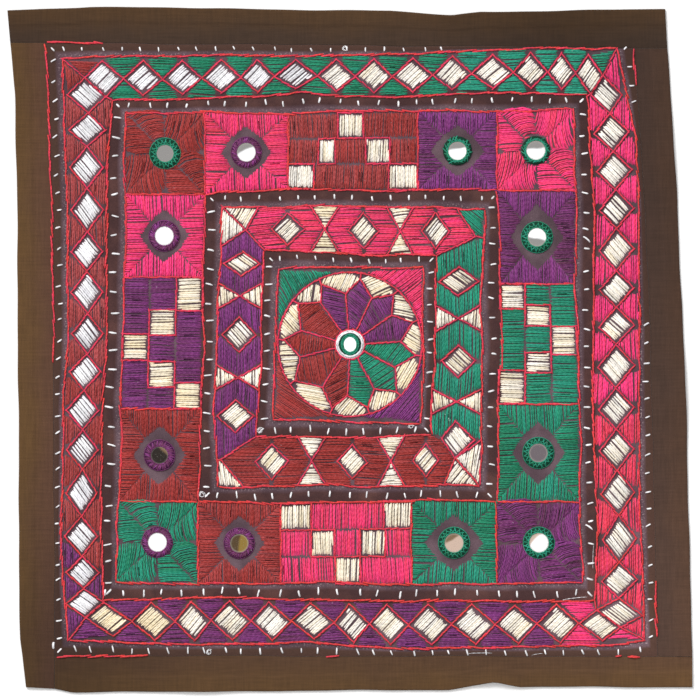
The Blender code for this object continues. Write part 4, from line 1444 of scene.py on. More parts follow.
def flower_lines():
    """The two circles, the edges of the petals, and a line from each tip to the rim."""
    lines = [circle(FLOWER_RADIUS), circle(CORE_LINE_RADIUS)]
    for k, petal in enumerate(PETALS):
        tip, notch = polar(petal.tip, PETAL_TIP_RADIUS), polar(petal.notch, NOTCH_RADIUS)
        lines.append([tip, notch])
        lines.append([polar(notch_before(k), NOTCH_RADIUS), tip])
        lines.append([notch, polar(petal.notch, CORE_LINE_RADIUS)])
        lines.append([tip, polar(petal.tip, FLOWER_RADIUS)])
    return lines


def running_stitches(rng):
    """White stitches across the bare channels, one slanting at each corner, and loose ends."""
    stitches = []
    for channel in CHANNELS:
        for row in ROWS:
            stitches += channel_row(channel, row, rng)
    for knot in KNOTS:
        stitches += tangled(knot, rng)
    for end in LOOSE_ENDS:
        size = (end.length, end.width, min(end.width, RUNNING_HEIGHT))
        stitches.append(flat_stitch(end.x, end.y, end.turn, *size, LOOSE_DYE, end.bow, LOOSE_HUMP))
    return stitches


def channel_row(channel, row, rng):
    """The running stitches of one side of a channel."""
    band = (channel.outer, channel.inner)
    by_seam = channel.outer == "seam"
    lean = row.lean if by_seam else 0.0
    low, high = [c[0] for c in side_ends(channel.outer, row.side)]
    count = round((high - low) / channel.pitch)
    stitches = []
    for k in range(count + 1):
        at_corner = k in (0, count)
        if at_corner and axis_of(row.side):
            continue
        along = low + (high - low) * k / count
        along += 0.0 if at_corner else sway(rng, RUNNING_PLACE_JITTER) * channel.pitch
        share = channel.share + sway(rng, RUNNING_SHARE_JITTER)
        gap = math.dist(*(on_side(square, row.side, along) for square in band))
        if not at_corner and gap < row.narrowest:
            continue
        turn = 90.0 - side_turn(row.side) + lean + sway(rng, RUNNING_SLANT)
        size = channel.length * (row.seam_length if by_seam else row.length)
        if at_corner:
            corner = end_corners(row.side)[min(k, 1)]
            if (channel.outer, corner) == BARE_CORNER:
                continue
            x, y = blend(*band_corner(band, corner), share)
            turn = DIAGONALS[corner]
        else:
            x, y = in_band(band, row.side, along, share)
            size = min(size, gap * LONGEST_SHARE)
        size *= rng.uniform(*RUNNING_RANGE)
        dye, bow = rng.uniform(0.0, RUNNING_DYE), sway(rng, RUNNING_BOW)
        look = (size, channel.width, RUNNING_HEIGHT, dye, bow, RUNNING_HUMP)
        stitches.append(flat_stitch(x, y, turn, *look))
    return stitches


def flat_stitch(x, y, turn, length, *look):
    """A stitch by its middle and its turn in degrees, at the foot of the running stitches."""
    dx, dy = (part(math.radians(turn)) * length / 2 for part in (math.cos, math.sin))
    return stitch((x - dx, y - dy, RUNNING_FOOT), (x + dx, y + dy, RUNNING_FOOT), *look)


def tangled(knot, rng):
    """A small tangle of thread: short stitches round an ellipse that winds inwards."""
    lean = math.radians(knot.turn)
    points = []
    for k in range(KNOT_STEPS + 1):
        t = k / KNOT_STEPS
        turn = math.tau * KNOT_TURNS * t
        reach = 1.0 - KNOT_WIND * t + sway(rng, KNOT_JITTER)
        u = math.cos(turn) * knot.width / 2 * reach
        v = math.sin(turn) * knot.height / 2 * reach
        x = knot.x + u * math.cos(lean) - v * math.sin(lean)
        y = knot.y + u * math.sin(lean) + v * math.cos(lean)
        points.append((x, y, RUNNING_FOOT + KNOT_RISE * t))
    return [stitch(a, b, *KNOT_STITCH) for a, b in zip(points, points[1:])]


def on_ring(centre, angle, radius, height, squeeze=1.0):
    """A point round a mirror's middle; squeeze narrows it across."""
    x, y = math.cos(math.radians(angle)), math.sin(math.radians(angle))
    return (centre[0] + x * radius * squeeze, centre[1] + y * radius, height)


def ring_radius(row, share):
    """The radius that share of the way from a ring's opening to its outside."""
    return row.opening + (row.outside - row.opening) * share


def round_cord(centre, row, cord, make, rng):
    """A twisted cord laid round in a ring: short stitches that overlap and lean outwards."""
    stitches = []
    radius = ring_radius(row, cord.share)
    squeeze = make.squeeze if radius < MIRROR_RADIUS else 1.0
    for k in range(cord.stitches):
        angle = 360.0 * (k + sway(rng, CORD_JITTER)) / cord.stitches
        spread = 360.0 * cord.overlap / cord.stitches / 2
        a = on_ring(centre, angle - spread, radius - cord.lean, cord.height, squeeze)
        b = on_ring(centre, angle + spread, radius + cord.lean, cord.height, squeeze)
        reach = math.dist(a[:2], b[:2])
        bow = -reach * reach / (8 * radius)
        stitches.append(stitch(a, b, cord.width, cord.width, dyed(make.dye, rng), bow))
    return stitches


def ring_loops(centre, row, make, rng):
    """The stitches that hold a mirror, from its inner cord over the crown to the cloth."""
    stitches = []
    for k in range(make.loops):
        angle = 360.0 * (k + sway(rng, LOOP_JITTER)) / make.loops
        way = 1 if make.crossed and k % 2 else -1
        slant = way * make.slant + sway(rng, LOOP_SLANT_JITTER)
        outer = row.outside + rng.uniform(-make.ragged, make.ragged * LOOP_PAST)
        a = on_ring(centre, angle - slant, row.opening + LOOP_INSIDE, LOOP_TOP)
        b = on_ring(centre, angle + slant, outer, LOOP_FOOT)
        dye = dyed(make.dye, rng, 2 * DYE_JITTER)
        width = make.width * rng.uniform(*LOOP_WIDTH_RANGE)
        stitches.append(stitch(a, b, width, LOOP_HEIGHT, dye, 0.0, LOOP_HUMP))
    return stitches


def placed_mirrors():
    """Each mirror's number, its row and its middle."""
    blocks = block_corners()
    for number, row in enumerate(MIRRORS, start=1):
        yield number, row, FLOWER_CENTRE if row.block == "flower" else middle_of(blocks[row.block])


class Wire:
    """A node's output in an expression: every operator adds the Math node that works it out."""

    def __init__(self, tree, node, socket):
        self.tree = tree
        self.node = node
        self.socket = socket

    def out(self, name):
        """Another output of the same node."""
        return Wire(self.tree, self.node, find_socket(self.node.outputs, name))

    def maths(self, operation, *others):
        return self.tree.maths(operation, self, *others)

    def __add__(self, other):
        return self.maths("ADD", other)

    def __radd__(self, other):
        return self.tree.maths("ADD", other, self)

    def __sub__(self, other):
        return self.maths("SUBTRACT", other)

    def __rsub__(self, other):
        return self.tree.maths("SUBTRACT", other, self)

    def __mul__(self, other):
        return self.maths("MULTIPLY", other)

    def __rmul__(self, other):
        return self.tree.maths("MULTIPLY", other, self)

    def __truediv__(self, other):
        return self.maths("DIVIDE", other)

    def __rtruediv__(self, other):
        return self.tree.maths("DIVIDE", other, self)

    def __neg__(self):
        return self.tree.maths("MULTIPLY", -1.0, self)

    def sine(self):
        return self.maths("SINE")

    def cosine(self):
        return self.maths("COSINE")

    def clamped(self):
        return self.maths("MINIMUM", 1.0).maths("MAXIMUM", 0.0)

    def step(self, low, high):
        """0 below low, 1 above high, smooth between."""
        return self.tree.node(
            "ShaderNodeMapRange",
            {"interpolation_type": "SMOOTHSTEP"},
            {"Value": self, "From Min": low, "From Max": high},
        )


def find_socket(sockets, name):
    """A socket by its identifier, or else by its name where it is in use."""
    for socket in sockets:
        if socket.identifier == name:
            return socket
    for socket in sockets:
        if socket.name == name and socket.enabled:
            return socket
    raise KeyError(f"no socket {name} among {[s.identifier for s in sockets]}")


class Tree:
    """A node tree under construction."""

    def __init__(self, tree):
        self.tree = tree
        self.tree.nodes.clear()

    def node(self, kind, settings=None, inputs=None):
        """A node with its settings, then its sockets' values or links; gives its first output."""
        made = self.tree.nodes.new(kind)
        for name, value in (settings or {}).items():
            setattr(made, name, value)
        for name, value in (inputs or {}).items():
            socket = find_socket(made.inputs, name)
            if isinstance(value, Wire):
                self.tree.links.new(value.socket, socket)
            else:
                socket.default_value = value
        first = next((s for s in made.outputs if s.enabled), None)
        return Wire(self, made, first)

    def maths(self, operation, *values):
        names = ("Value", "Value_001", "Value_002")
        return self.node("ShaderNodeMath", {"operation": operation}, dict(zip(names, values)))

    def joined(self, x, y, z):
        return self.node("ShaderNodeCombineXYZ", {}, {"X": x, "Y": y, "Z": z})

    def parts(self, vector):
        """A vector's parts, as the outputs X, Y and Z."""
        return self.node("ShaderNodeSeparateXYZ", {}, {"Vector": vector})

    def mix(self, factor, a, b, blend_type="MIX"):
        """Two colours mixed."""
        made = self.node(
            "ShaderNodeMix",
            {"data_type": "RGBA", "blend_type": blend_type},
            {"Factor_Float": factor, "A_Color": rgba(a), "B_Color": rgba(b)},
        )
        return made.out("Result_Color")

    def shaded(self, colour, light):
        """A colour made lighter or darker."""
        grey = self.node("ShaderNodeCombineColor", {}, dict.fromkeys(("Red", "Green", "Blue"), light))
        return self.mix(1.0, colour, grey, "MULTIPLY")

    def noise(self, vector, scale, detail=2.0, roughness=0.5):
        inputs = {"Vector": vector, "Scale": scale, "Detail": detail, "Roughness": roughness}
        return self.node("ShaderNodeTexNoise", {}, inputs)

    def attribute(self, name):
        return self.node("ShaderNodeAttribute", {"attribute_name": name}).out("Fac")

    def place(self):
        return self.node("ShaderNodeTexCoord").out("Object")

    def bump(self, height, depth):
        """The slopes of a relief that is so many millimetres deep."""
        return self.node("ShaderNodeBump", {}, {"Height": height, "Distance": depth * MM})

    def surface(self, **inputs):
        """The shader and the output; an input's spaces are written as underscores."""
        named = {name.replace("_", " "): value for name, value in inputs.items()}
        shader = self.node("ShaderNodeBsdfPrincipled", {}, named)
        self.node("ShaderNodeOutputMaterial", {}, {"Surface": shader})


def new_material(name):
    made = bpy.data.materials.new(name)
    made.use_nodes = True
    return made, Tree(made.node_tree)


def rgba(colour):
    """A colour with its alpha, unless another node gives it."""
    return colour if isinstance(colour, Wire) else (*colour[:3], 1.0)


def thread_material(name, colours, twist=1.0):
    """Spun cotton or floss: two shades, plies that wind along each stitch, and stray fibres."""
    made, t = new_material("thread_" + name)
    uv = t.parts(t.node("ShaderNodeUVMap", {"uv_map": "UVMap"}))
    place = t.place()
    tone = t.attribute("tone")
    along = uv.out("X") * t.attribute("reach") / (THREAD_TWIST * MM)
    turns = along * twist + uv.out("Y") * THREAD_PLIES + tone * PLY_SHIFT
    plies = (turns * math.tau).sine()
    fibres = t.noise(place, FIBRE_SCALE, 1.0)
    shade = (t.attribute("dye") + (t.noise(place, DYE_SCALE) - 0.5) * DYE_SPREAD).clamped()
    fleck = t.noise(place, *FLECK_NOISE).step(*FLECK_RANGE)
    colour = t.mix(fleck * FLECK_SHARE, t.mix(shade, *colours), tint(*FLECK_TINT))
    # The ends sink between their neighbours, so less light gets there
    ends = (uv.out("X") - 0.5).maths("ABSOLUTE").step(*END_RANGE)
    # Painted light and shade: slow patches lighten and darken the satin, as puckers would catch or lose the
    # light
    painted_pucker_shade = t.noise(place, PUCKER_SHADE_SCALE) - 0.5
    light = 1.0 + tone + plies * PLY_CONTRAST + (fibres - 0.5) * FIBRE_CONTRAST - ends * END_DARK
    t.surface(
        Base_Color=t.shaded(colour, light + painted_pucker_shade * PUCKER_SHADE_CONTRAST),
        Roughness=THREAD_ROUGH + fibres * THREAD_ROUGH_SPREAD,
        Normal=t.bump(plies * PLY_BUMP + fibres, PLY_DEPTH),
        **THREAD_SURFACE,
    )
    return made


def cotton(t, make):
    """The weave of a cotton, from -1 to 1, and how worn it is, from 0 to 1."""
    place = t.place()
    xyz = t.parts(place)
    stray = (t.noise(place, make.wobble_scale) - 0.5) * (make.wobble * MM)
    waves = math.tau / (make.pitch * MM)
    warp = ((xyz.out("X") + stray) * waves).sine()
    weft = ((xyz.out("Y") + stray * make.way) * waves).sine()
    return warp * weft, t.noise(place, make.worn_scale, *WORN_NOISE)


def cotton_surface(t, make, colour, weave, worn, grain):
    """The surface of a cotton; its grain, from 0 to 1, is what sets it apart from others."""
    light = 1.0 + weave * make.contrast + (grain - 0.5) * make.grain + (worn - 0.5) * WORN_CONTRAST
    t.surface(
        Base_Color=t.shaded(colour, light * t.attribute("patch")),
        Roughness=make.rough + worn * make.rough_spread,
        Normal=t.bump(weave * make.weave_bump + grain * make.grain_bump, WEAVE_DEPTH),
        Sheen_Weight=make.sheen,
        **COTTON_SURFACE,
    )


def ground_material(colours):
    """Thin cotton: bare mauve ground, padded dark strips, lint beside the stitches."""
    made, t = new_material("ground_cotton")
    weave, worn = cotton(t, GROUND_COTTON)
    speck = t.noise(t.place(), *SPECK_NOISE)
    lint = (t.attribute("lint") * speck.step(*LINT_RANGE)).clamped()
    bare = t.mix(worn.step(*BARE_RANGE), colours.ground, colours.ground_worn)
    dark = t.mix(worn.step(*STRIP_RANGE), colours.strip, colours.strip_worn)
    dark = t.mix(t.attribute("brown"), dark, colours.strip_brown)
    # The strip attribute also holds a little painted shade on the ground inside the outer band and the
    # frieze
    colour = t.mix(lint * LINT_SHARE, t.mix(t.attribute("strip"), bare, dark), colours.lint)
    cotton_surface(t, GROUND_COTTON, colour, weave, worn, speck)
    return made


def border_material(row):
    """Plain weave cotton, browner towards the turned hem, with slubs along its threads."""
    made, t = new_material("border_cotton_" + row.side)
    weave, worn = cotton(t, BORDER_COTTON)
    xyz = t.parts(t.place())
    x, y = xyz.out("X"), xyz.out("Y")
    along, beside = SLUB_SCALES
    slub_x = t.noise(t.joined(x * along, y * beside, 0.0), 1.0)
    slub_y = t.noise(t.joined(x * beside, y * along, 0.0), 1.0)
    share = (t.attribute("hem") + (worn - 0.5) * HEM_SPREAD).step(0.0, 1.0)
    colour = t.mix(share, tint(*row.inner), tint(*row.outer))
    cotton_surface(t, BORDER_COTTON, colour, weave, worn, (slub_x + slub_y) / 2.0)
    return made


def mirror_material(number, row, centre, tints):
    """Hand-cut mirror glass: silvering with a faint ripple, a painted reflection in two tints, partly
    tarnished silvering, and a pale rim of dust and painted highlight.
    """
    made, t = new_material(f"mirror_glass_{number:02d}")
    place = t.place()
    xyz = t.parts(place)
    x, y = (xyz.out(name) - middle * MM for name, middle in zip("XY", centre))
    # Painted reflection: the glass shows two tints, split by a soft line that leans and wavers
    lean = math.radians(row.lean)
    ripples = t.noise(place, GLASS_SCALE, 1.0)
    up = y * math.cos(lean) - x * math.sin(lean) + (ripples - 0.5) * (GLASS_STRAY * MM)
    share = (up / MM).step(row.level - GLASS_SOFT, row.level + GLASS_SOFT)
    far = (x * x + y * y).maths("SQRT") / MM
    # Pale rim round the opening: partly dust, partly a painted highlight
    dust = far.step(*RIM_DUST_AND_HIGHLIGHT_RANGE) * RIM_DUST_AND_HIGHLIGHT_SHARE
    specks = t.noise(place, *DUST_NOISE).step(*DUST_SPECK_RANGE) * DUST_SPECK_SHARE
    colour = t.mix(share, tints[row.low], tints[row.high])
    t.surface(
        Base_Color=t.mix((dust + specks).clamped(), colour, tints["dust"]),
        Metallic=GLASS_METAL,
        Roughness=GLASS_ROUGH + dust * DUST_ROUGH + specks,
        Normal=t.bump(ripples, GLASS_DEPTH),
    )
    return made


def core_material(name, main):
    """The thread under the loops of a ring, which gets less light than they do."""
    made, t = new_material("ring_core_" + name)
    strands = t.noise(t.place(), STRAND_SCALE)
    dark = [part * CORE_SHADE for part in main]
    t.surface(
        Base_Color=t.shaded(dark, CORE_LIGHT + strands * CORE_CONTRAST),
        Roughness=CORE_ROUGH + strands * CORE_ROUGH_SPREAD,
        Normal=t.bump(strands, PLY_DEPTH),
        Specular_IOR_Level=CORE_GLOSS,
    )
    return made


def linked(name, data, place=(0.0, 0.0, 0.0), turn=(0.0, 0.0, 0.0)):
    """An object in the scene with that data, at a place and turned by degrees."""
    obj = bpy.data.objects.new(name, data)
    obj.location = place
    obj.rotation_euler = [math.radians(angle) for angle in turn]
    bpy.context.collection.objects.link(obj)
    return obj


def new_mesh(name, bm):
    """A bmesh as a mesh, with its faces turned outwards."""
    bmesh.ops.recalc_face_normals(bm, faces=bm.faces)
    mesh = bpy.data.meshes.new(name)
    bm.to_mesh(mesh)
    bm.free()
    return mesh


def mesh_object(name, bm, made, smooth_angle=SMOOTH_ANGLE):
    """An object from a bmesh in millimetres, at the origin, with its material."""
    bmesh.ops.scale(bm, vec=(MM, MM, MM), verts=bm.verts)
    mesh = new_mesh(name, bm)
    mesh.shade_smooth()
    mesh.set_sharp_from_angle(angle=math.radians(smooth_angle))
    mesh.materials.append(made)
    return linked(name, mesh)


def loft(bm, rings):
    """The faces between neighbouring rings of points."""
    faces = []
    for low, high in zip(rings, rings[1:]):
        for k in range(len(low)):
            n = (k + 1) % len(low)
            faces.append(bm.faces.new((low[k], low[n], high[n], high[k])))
    return faces


def square_loop(square):
    """A square's points all round, from its lower left corner, against the clock."""
    lines = {side: side_line(square, side, GROUND_STEPS) for side in SIDES}
    loop = lines["bottom"][:-1] + lines["right"][:-1]
    return loop + lines["top"][:0:-1] + lines["left"][:0:-1]


def ripple(x, y):
    """How the ground rises and falls a little between its stitches, from -1 to 1."""
    rise = 1.0
    for wave, a, b in zip(GROUND_WAVES, (x, y), (y, x)):
        rise *= math.sin(a * wave.along + wave.bend * math.sin(b * wave.beside))
    return rise


def ground_rings():
    """Rings of points from the seam to the flower, each with its relief and its attributes."""
    for outer, inner, steps in GROUND_BANDS:
        a = square_loop(outer)
        if outer == "seam":
            a = inset(a, SEAM_GAP / 2)
        b = square_loop(inner) if inner else [polar(0.0, 0.0)] * len(a)
        channel = next((c for c in CHANNELS if (c.outer, c.inner) == (outer, inner)), None)
        brown = 1.0 if outer == "seam" else 0.0
        for k in range(steps):
            share = k / steps * (1.0 if inner else FAN_SHARE)
            # Painted shade between the stitches of the outer band and the frieze, carried in the strip
            # attribute
            dark = BAND_PAINTED_SHADE if (outer, inner) in (BAND, FRIEZE_BAND) else 0.0
            lint = rise = 0.0
            if channel:
                dark = 1.0 - smooth_step(share, channel.dark - DARK_SOFT, channel.dark + DARK_SOFT)
                lint = channel.lint * smooth_step(share, channel.dark, 1.0)
                rise = STRIP_PAD * math.sin(math.pi * min(1.0, share / channel.dark))
            yield [blend(p, q, share) for p, q in zip(a, b)], rise, (dark, lint, brown)


def tone_at(x, y):
    """How much lighter or darker the cotton is at a place."""
    tone = 1.0
    for p in PATCHES:
        tone += p.tone * math.exp(-((x - p.x) ** 2 + (y - p.y) ** 2) / p.reach ** 2)
    return tone


def smooth_step(value, low, high):
    """0 below low, 1 above high, smooth between."""
    t = clamped((value - low) / (high - low))
    return t * t * (3 - 2 * t)


def ground_mesh():
    """The ground cloth: its face in rings, closed by its edge and a flat underside."""
    bm = bmesh.new()
    layers = [bm.verts.layers.float.new(name) for name in ("strip", "lint", "brown", "patch")]
    rings = []
    for points, rise, values in ground_rings():
        rings.append([])
        for x, y in points:
            vert = bm.verts.new((x, y, GROUND_TOP + rise + GROUND_RIPPLE * ripple(x, y)))
            for layer, value in zip(layers, (*values, tone_at(x, y))):
                vert[layer] = value
            rings[-1].append(vert)
    foot = [bm.verts.new((v.co.x, v.co.y, 0.0)) for v in rings[0]]
    loft(bm, [foot, *rings])
    hub = bm.verts.new((*FLOWER_CENTRE, GROUND_TOP))
    hub[layers[-1]] = 1.0
    last = rings[-1]
    for a, b in zip(last, last[1:] + last[:1]):
        bm.faces.new((a, b, hub))
    bm.faces.new(foot[::-1])
    return bm


def lift(side, along, share):
    """How high a ripple carries a strip, share of the way from the seam to the outer edge."""
    fitting = [r for r in RIPPLES if r.side == side]
    return sum(r.lift * math.exp(-(((along - r.along) / r.width) ** 2)) for r in fitting) * share ** 2


def strip_profile(width):
    """A strip's cross-section from the outer edge over its face to the seam, and back below."""
    half = HEM_THICK / 2
    profile = []
    for turn in np.radians(np.linspace(-90.0, 90.0, EDGE_STEPS)):
        profile.append((EDGE_ROUND * (1 - math.cos(turn)), half + half * math.sin(turn)))
    stops = (EDGE_ROUND, HEM_WIDTH, HEM_WIDTH + HEM_STEP, width - SEAM_WIDTH, width)
    heights = (HEM_THICK, HEM_THICK, STRIP_THICK, STRIP_THICK, SEAM_THICK)
    inner = set(np.linspace(EDGE_ROUND, width, STRIP_CROSS_STEPS)[1:-1])
    for distance in sorted(inner | {HEM_WIDTH, HEM_WIDTH + HEM_STEP}):
        profile.append((distance, float(np.interp(distance, stops, heights))))
    profile += [(width - SEAM_ROUND, SEAM_THICK), (width, SEAM_THICK - SEAM_DROP), (width, 0.0)]
    return profile + [(a, 0.0) for a in np.linspace(width, EDGE_ROUND, STRIP_FOOT_STEPS)[1:-1]]


def strip_outlines():
    """The inner and the outer line of each border strip, point for point, low end first."""
    seam = {corner: corner_of("seam", corner) for corner in CORNERS}
    edge = {corner: corner_of("edge", corner) for corner in CORNERS}
    left_end, upper_end, lower_end = (
        on_side("edge", side, seam[corner][1])
        for side, corner in (("left", "top_left"), ("right", "top_right"), ("right", "bottom_right"))
    )
    foot = on_side("edge", "bottom", seam["bottom_left"][0])
    ends = {
        "top": ([left_end], [upper_end], edge["top_left"][0], edge["top_right"][0]),
        "right": ([], [], lower_end[1], upper_end[1]),
        "bottom": ([], [lower_end], foot[0], edge["bottom_right"][0]),
        "left": ([foot], [], edge["bottom_left"][1], left_end[1]),
    }
    for side, (before, after, low, high) in ends.items():
        inner = before + side_line("seam", side, STRIP_STEPS) + after
        axis = axis_of(side)
        span = inner[-1][axis] - inner[0][axis]
        stops = [low + (high - low) * (p[axis] - inner[0][axis]) / span for p in inner]
        whole = inner + [on_side("edge", side, a) for a in stops][::-1]
        loop = inset(whole, SEAM_GAP / 2)
        if area(whole) < 0:
            loop = loop[::-1]
        yield side, loop[: len(inner)], loop[len(inner):][::-1]


def strip_mesh(side, inner, outer):
    """A border strip, lofted across from its turned hem to its seam."""
    bm = bmesh.new()
    hem_layer, patch_layer = (bm.verts.layers.float.new(name) for name in ("hem", "patch"))
    rings = []
    for start, end in zip(outer, inner):
        width = math.dist(start, end)
        ring = []
        for distance, height in strip_profile(width):
            x, y = blend(start, end, distance / width)
            rise = lift(side, (x, y)[axis_of(side)], 1 - distance / width)
            if height > HEM_THICK / 2:
                rise += STRIP_RIPPLE * ripple(x * STRIP_WAVES, y * STRIP_WAVES)
            vert = bm.verts.new((x, y, height + rise))
            vert[hem_layer] = 1 - distance / width
            vert[patch_layer] = tone_at(x, y)
            ring.append(vert)
        rings.append(ring)
    loft(bm, rings)
    bm.faces.new(rings[0])
    bm.faces.new(rings[-1][::-1])
    return bm


def add_core(bm, centre, row, squeeze):
    """The padded core of a mirror's ring: a profile turned round, its opening squeezed."""
    rings = []
    profile = [(ring_radius(row, share), height) for share, height in CORE_PROFILE]
    for radius, height in (*profile, *CORE_LAP):
        narrow = squeeze if radius < MIRROR_RADIUS else 1.0
        turns = [360.0 * k / CORE_SIDES for k in range(CORE_SIDES)]
        rings.append([bm.verts.new(on_ring(centre, a, radius, height, narrow)) for a in turns])
    loft(bm, rings + rings[:1])


def unit_stitch():
    """One stitch of unit size, with its UV map and a point attribute that runs along it."""
    bm = bmesh.new()
    along_layer = bm.verts.layers.float.new("along")
    uv_layer = bm.loops.layers.uv.new("UVMap")
    sections = []
    for along, spread, sink in STITCH_STATIONS:
        section = [bm.verts.new((along, a * spread, up * spread + sink)) for a, up in STITCH_SECTION]
        for vert in section:
            vert[along_layer] = along
        sections.append(section)
    count = len(STITCH_SECTION)
    for number, face in enumerate(loft(bm, sections)):
        k, j = divmod(number, count)
        face.smooth = True
        corners = ((k, j), (k, j + 1), (k + 1, j + 1), (k + 1, j))
        for loop, (station, place) in zip(face.loops, corners):
            loop[uv_layer].uv = (STITCH_STATIONS[station][0] + 0.5, place / count)
    for section, along in ((sections[0], 0.0), (sections[-1][::-1], 1.0)):
        for loop in bm.faces.new(section).loops:
            loop[uv_layer].uv = (along, 0.5)
    return linked("unit_stitch", new_mesh("unit_stitch", bm))


def stitch_tree():
    """Geometry Nodes: a stitch on every point, by the points' own sizes and turns."""
    group = bpy.data.node_groups.new("lay_stitches", "GeometryNodeTree")
    face = group.interface
    for name, kind in STITCH_INPUTS.items():
        face.new_socket(name=name, in_out="INPUT", socket_type=kind)
    face.new_socket(name="Geometry", in_out="OUTPUT", socket_type="NodeSocketGeometry")
    t = Tree(group)
    given = t.node("NodeGroupInput")

    def named(name, data_type="FLOAT"):
        return t.node("GeometryNodeInputNamedAttribute", {"data_type": data_type}, {"Name": name})

    def drawn(low, high, seed):
        inputs = {"Min_001": low, "Max_001": high, "Seed": seed}
        return t.node("FunctionNodeRandomValue", {"data_type": "FLOAT"}, inputs).out("Value_001")

    spread, tone, seed = (given.out(name) for name in ("Thickness spread", "Tone spread", "Seed"))
    points = t.node(
        "GeometryNodeStoreNamedAttribute",
        {"data_type": "FLOAT", "domain": "POINT"},
        {"Geometry": given.out("Geometry"), "Name": "tone", "Value": drawn(-tone, tone, seed)},
    )
    size = t.parts(named("size", "FLOAT_VECTOR"))
    width = size.out("Y") * drawn(1.0 - spread, 1.0 + spread, seed + 1.0) * given.out("Width")
    turn = named("turn")
    euler = t.joined(0.0, -named("slope"), turn)
    unit = t.node("GeometryNodeObjectInfo", {}, {"Object": given.out("Stitch")})
    laid = t.node(
        "GeometryNodeInstanceOnPoints",
        {},
        {
            "Points": points,
            "Instance": unit.out("Geometry"),
            "Rotation": t.node("FunctionNodeEulerToRotation", {}, {"Euler": euler}),
            "Scale": t.joined(size.out("X"), width, size.out("Z") * given.out("Rise")),
        },
    )
    joined = t.node("GeometryNodeRealizeInstances", {}, {"Geometry": laid})
    along = named("along")
    arch = 1.0 - along * along * 4.0
    sideways = arch * named("bow")
    offset = t.joined(-turn.sine() * sideways, turn.cosine() * sideways, arch * named("hump"))
    moved = t.node("GeometryNodeSetPosition", {}, {"Geometry": joined, "Offset": offset})
    inputs = {"Geometry": moved, "Material": given.out("Thread")}
    t.node("NodeGroupOutput", {}, {"Geometry": t.node("GeometryNodeSetMaterial", {}, inputs)})
    return group


def points_mesh(name, stitches):
    """A cloud of points, one for each stitch, with its sizes in metres as attributes."""
    mesh = bpy.data.meshes.new(name)
    mesh.vertices.add(len(stitches))
    table = np.array(stitches, dtype=np.float64)
    mesh.vertices.foreach_set("co", (table[:, :3] * MM).ravel())
    sizes = mesh.attributes.new("size", "FLOAT_VECTOR", "POINT")
    sizes.data.foreach_set("vector", (table[:, 3:6] * MM).ravel())
    for title, unit in POINT_ATTRIBUTES.items():
        made = mesh.attributes.new(title, "FLOAT", "POINT")
        made.data.foreach_set("value", table[:, Stitch._fields.index(title)] * unit)
    return mesh


def laid_stitches(name, stitches, made, options):
    """A piece of stitches: the tree lays them on their points, then they become a plain mesh."""
    obj = linked(name, points_mesh(name, stitches))
    group = bpy.data.node_groups.get("lay_stitches") or stitch_tree()
    layer = obj.modifiers.new("stitches", "NODES")
    layer.node_group = group
    values = {
        "Stitch": bpy.data.objects.get("unit_stitch") or unit_stitch(),
        "Thread": made,
        "Width": options.width,
        "Rise": options.rise,
        "Thickness spread": options.thickness_spread,
        "Tone spread": options.tone_spread,
        "Seed": options.seed + SEEDS[name],
    }
    for socket in group.interface.items_tree:
        if socket.in_out == "INPUT" and socket.name in values:
            layer[socket.identifier] = values[socket.name]
    bpy.context.view_layer.update()
    evaluated = obj.evaluated_get(bpy.context.evaluated_depsgraph_get())
    mesh = bpy.data.meshes.new_from_object(evaluated)
    obj.modifiers.clear()
    mesh.name = name
    for title in WORKING_ATTRIBUTES:
        if title in mesh.attributes:
            mesh.attributes.remove(mesh.attributes[title])
    if not mesh.polygons:
        raise RuntimeError(f"no stitches were laid for {name}")
    obj.data = mesh
    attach(obj, "root")
    return obj


def tint(red, green, blue):
    """A colour as it shows on the screen, from 0 to 255, as the linear values of a material."""
    linear = []
    for part in (red, green, blue):
        part /= 255
        linear.append(part / 12.92 if part <= 0.04045 else ((part + 0.055) / 1.055) ** 2.4)
    return tuple(linear)


def colour(name, description, *screen):
    return FloatVectorProperty(
        name=name,
        description=description,
        subtype="COLOR",
        size=3,
        min=0.0,
        max=1.0,
        default=tint(*screen),
    )


def share(name, description, default, low=0.0, high=1.0):
    return FloatProperty(
        name=name, description=description, subtype="FACTOR", min=low, max=high, default=default
    )


class StitchSettings(bpy.types.PropertyGroup):
    """How thick and how even the stitches are."""

    width: share("Width", "Width of every stitch, against its usual one", 1.0, 0.5, 1.6)
    rise: share("Rise", "Height of every stitch, against its usual one", 1.0, 0.4, 1.3)
    thickness_spread: share("Thickness spread", "How far the stitches differ in width", 0.14)
    tone_spread: share("Tone spread", "How far the stitches differ in lightness", 0.15)
    seed: IntProperty(name="Seed", description="Start of the random draws", default=7, min=0)


class ThreadColours(bpy.types.PropertyGroup):
    """The threads, each with the second shade that it fades to."""

    brick: colour("Brick red", "Brick red thread", 166, 50, 45)
    brick_second: colour("Brick red, second", "Faded brick red thread", 188, 82, 84)
    pink: colour("Pink", "Pink thread", 252, 60, 134)
    pink_second: colour("Pink, second", "Red-pink thread", 238, 66, 92)
    purple: colour("Purple", "Purple thread", 142, 57, 136)
    purple_second: colour("Purple, second", "Dark purple thread", 104, 45, 82)
    green: colour("Green", "Green thread", 22, 134, 98)
    green_second: colour("Green, second", "Blue-green thread", 36, 158, 132)
    white: colour("White", "White thread", 255, 254, 255)
    white_second: colour("White, second", "Greyed white thread", 230, 228, 234)
    cream: colour("Cream", "Cream thread", 255, 249, 240)
    cream_second: colour("Cream, second", "Yellowed cream thread", 246, 228, 190)
    line: colour("Outline red", "Red thread of the outlines", 230, 62, 58)
    line_second: colour("Outline red, second", "Pinker thread of the outlines", 230, 52, 92)


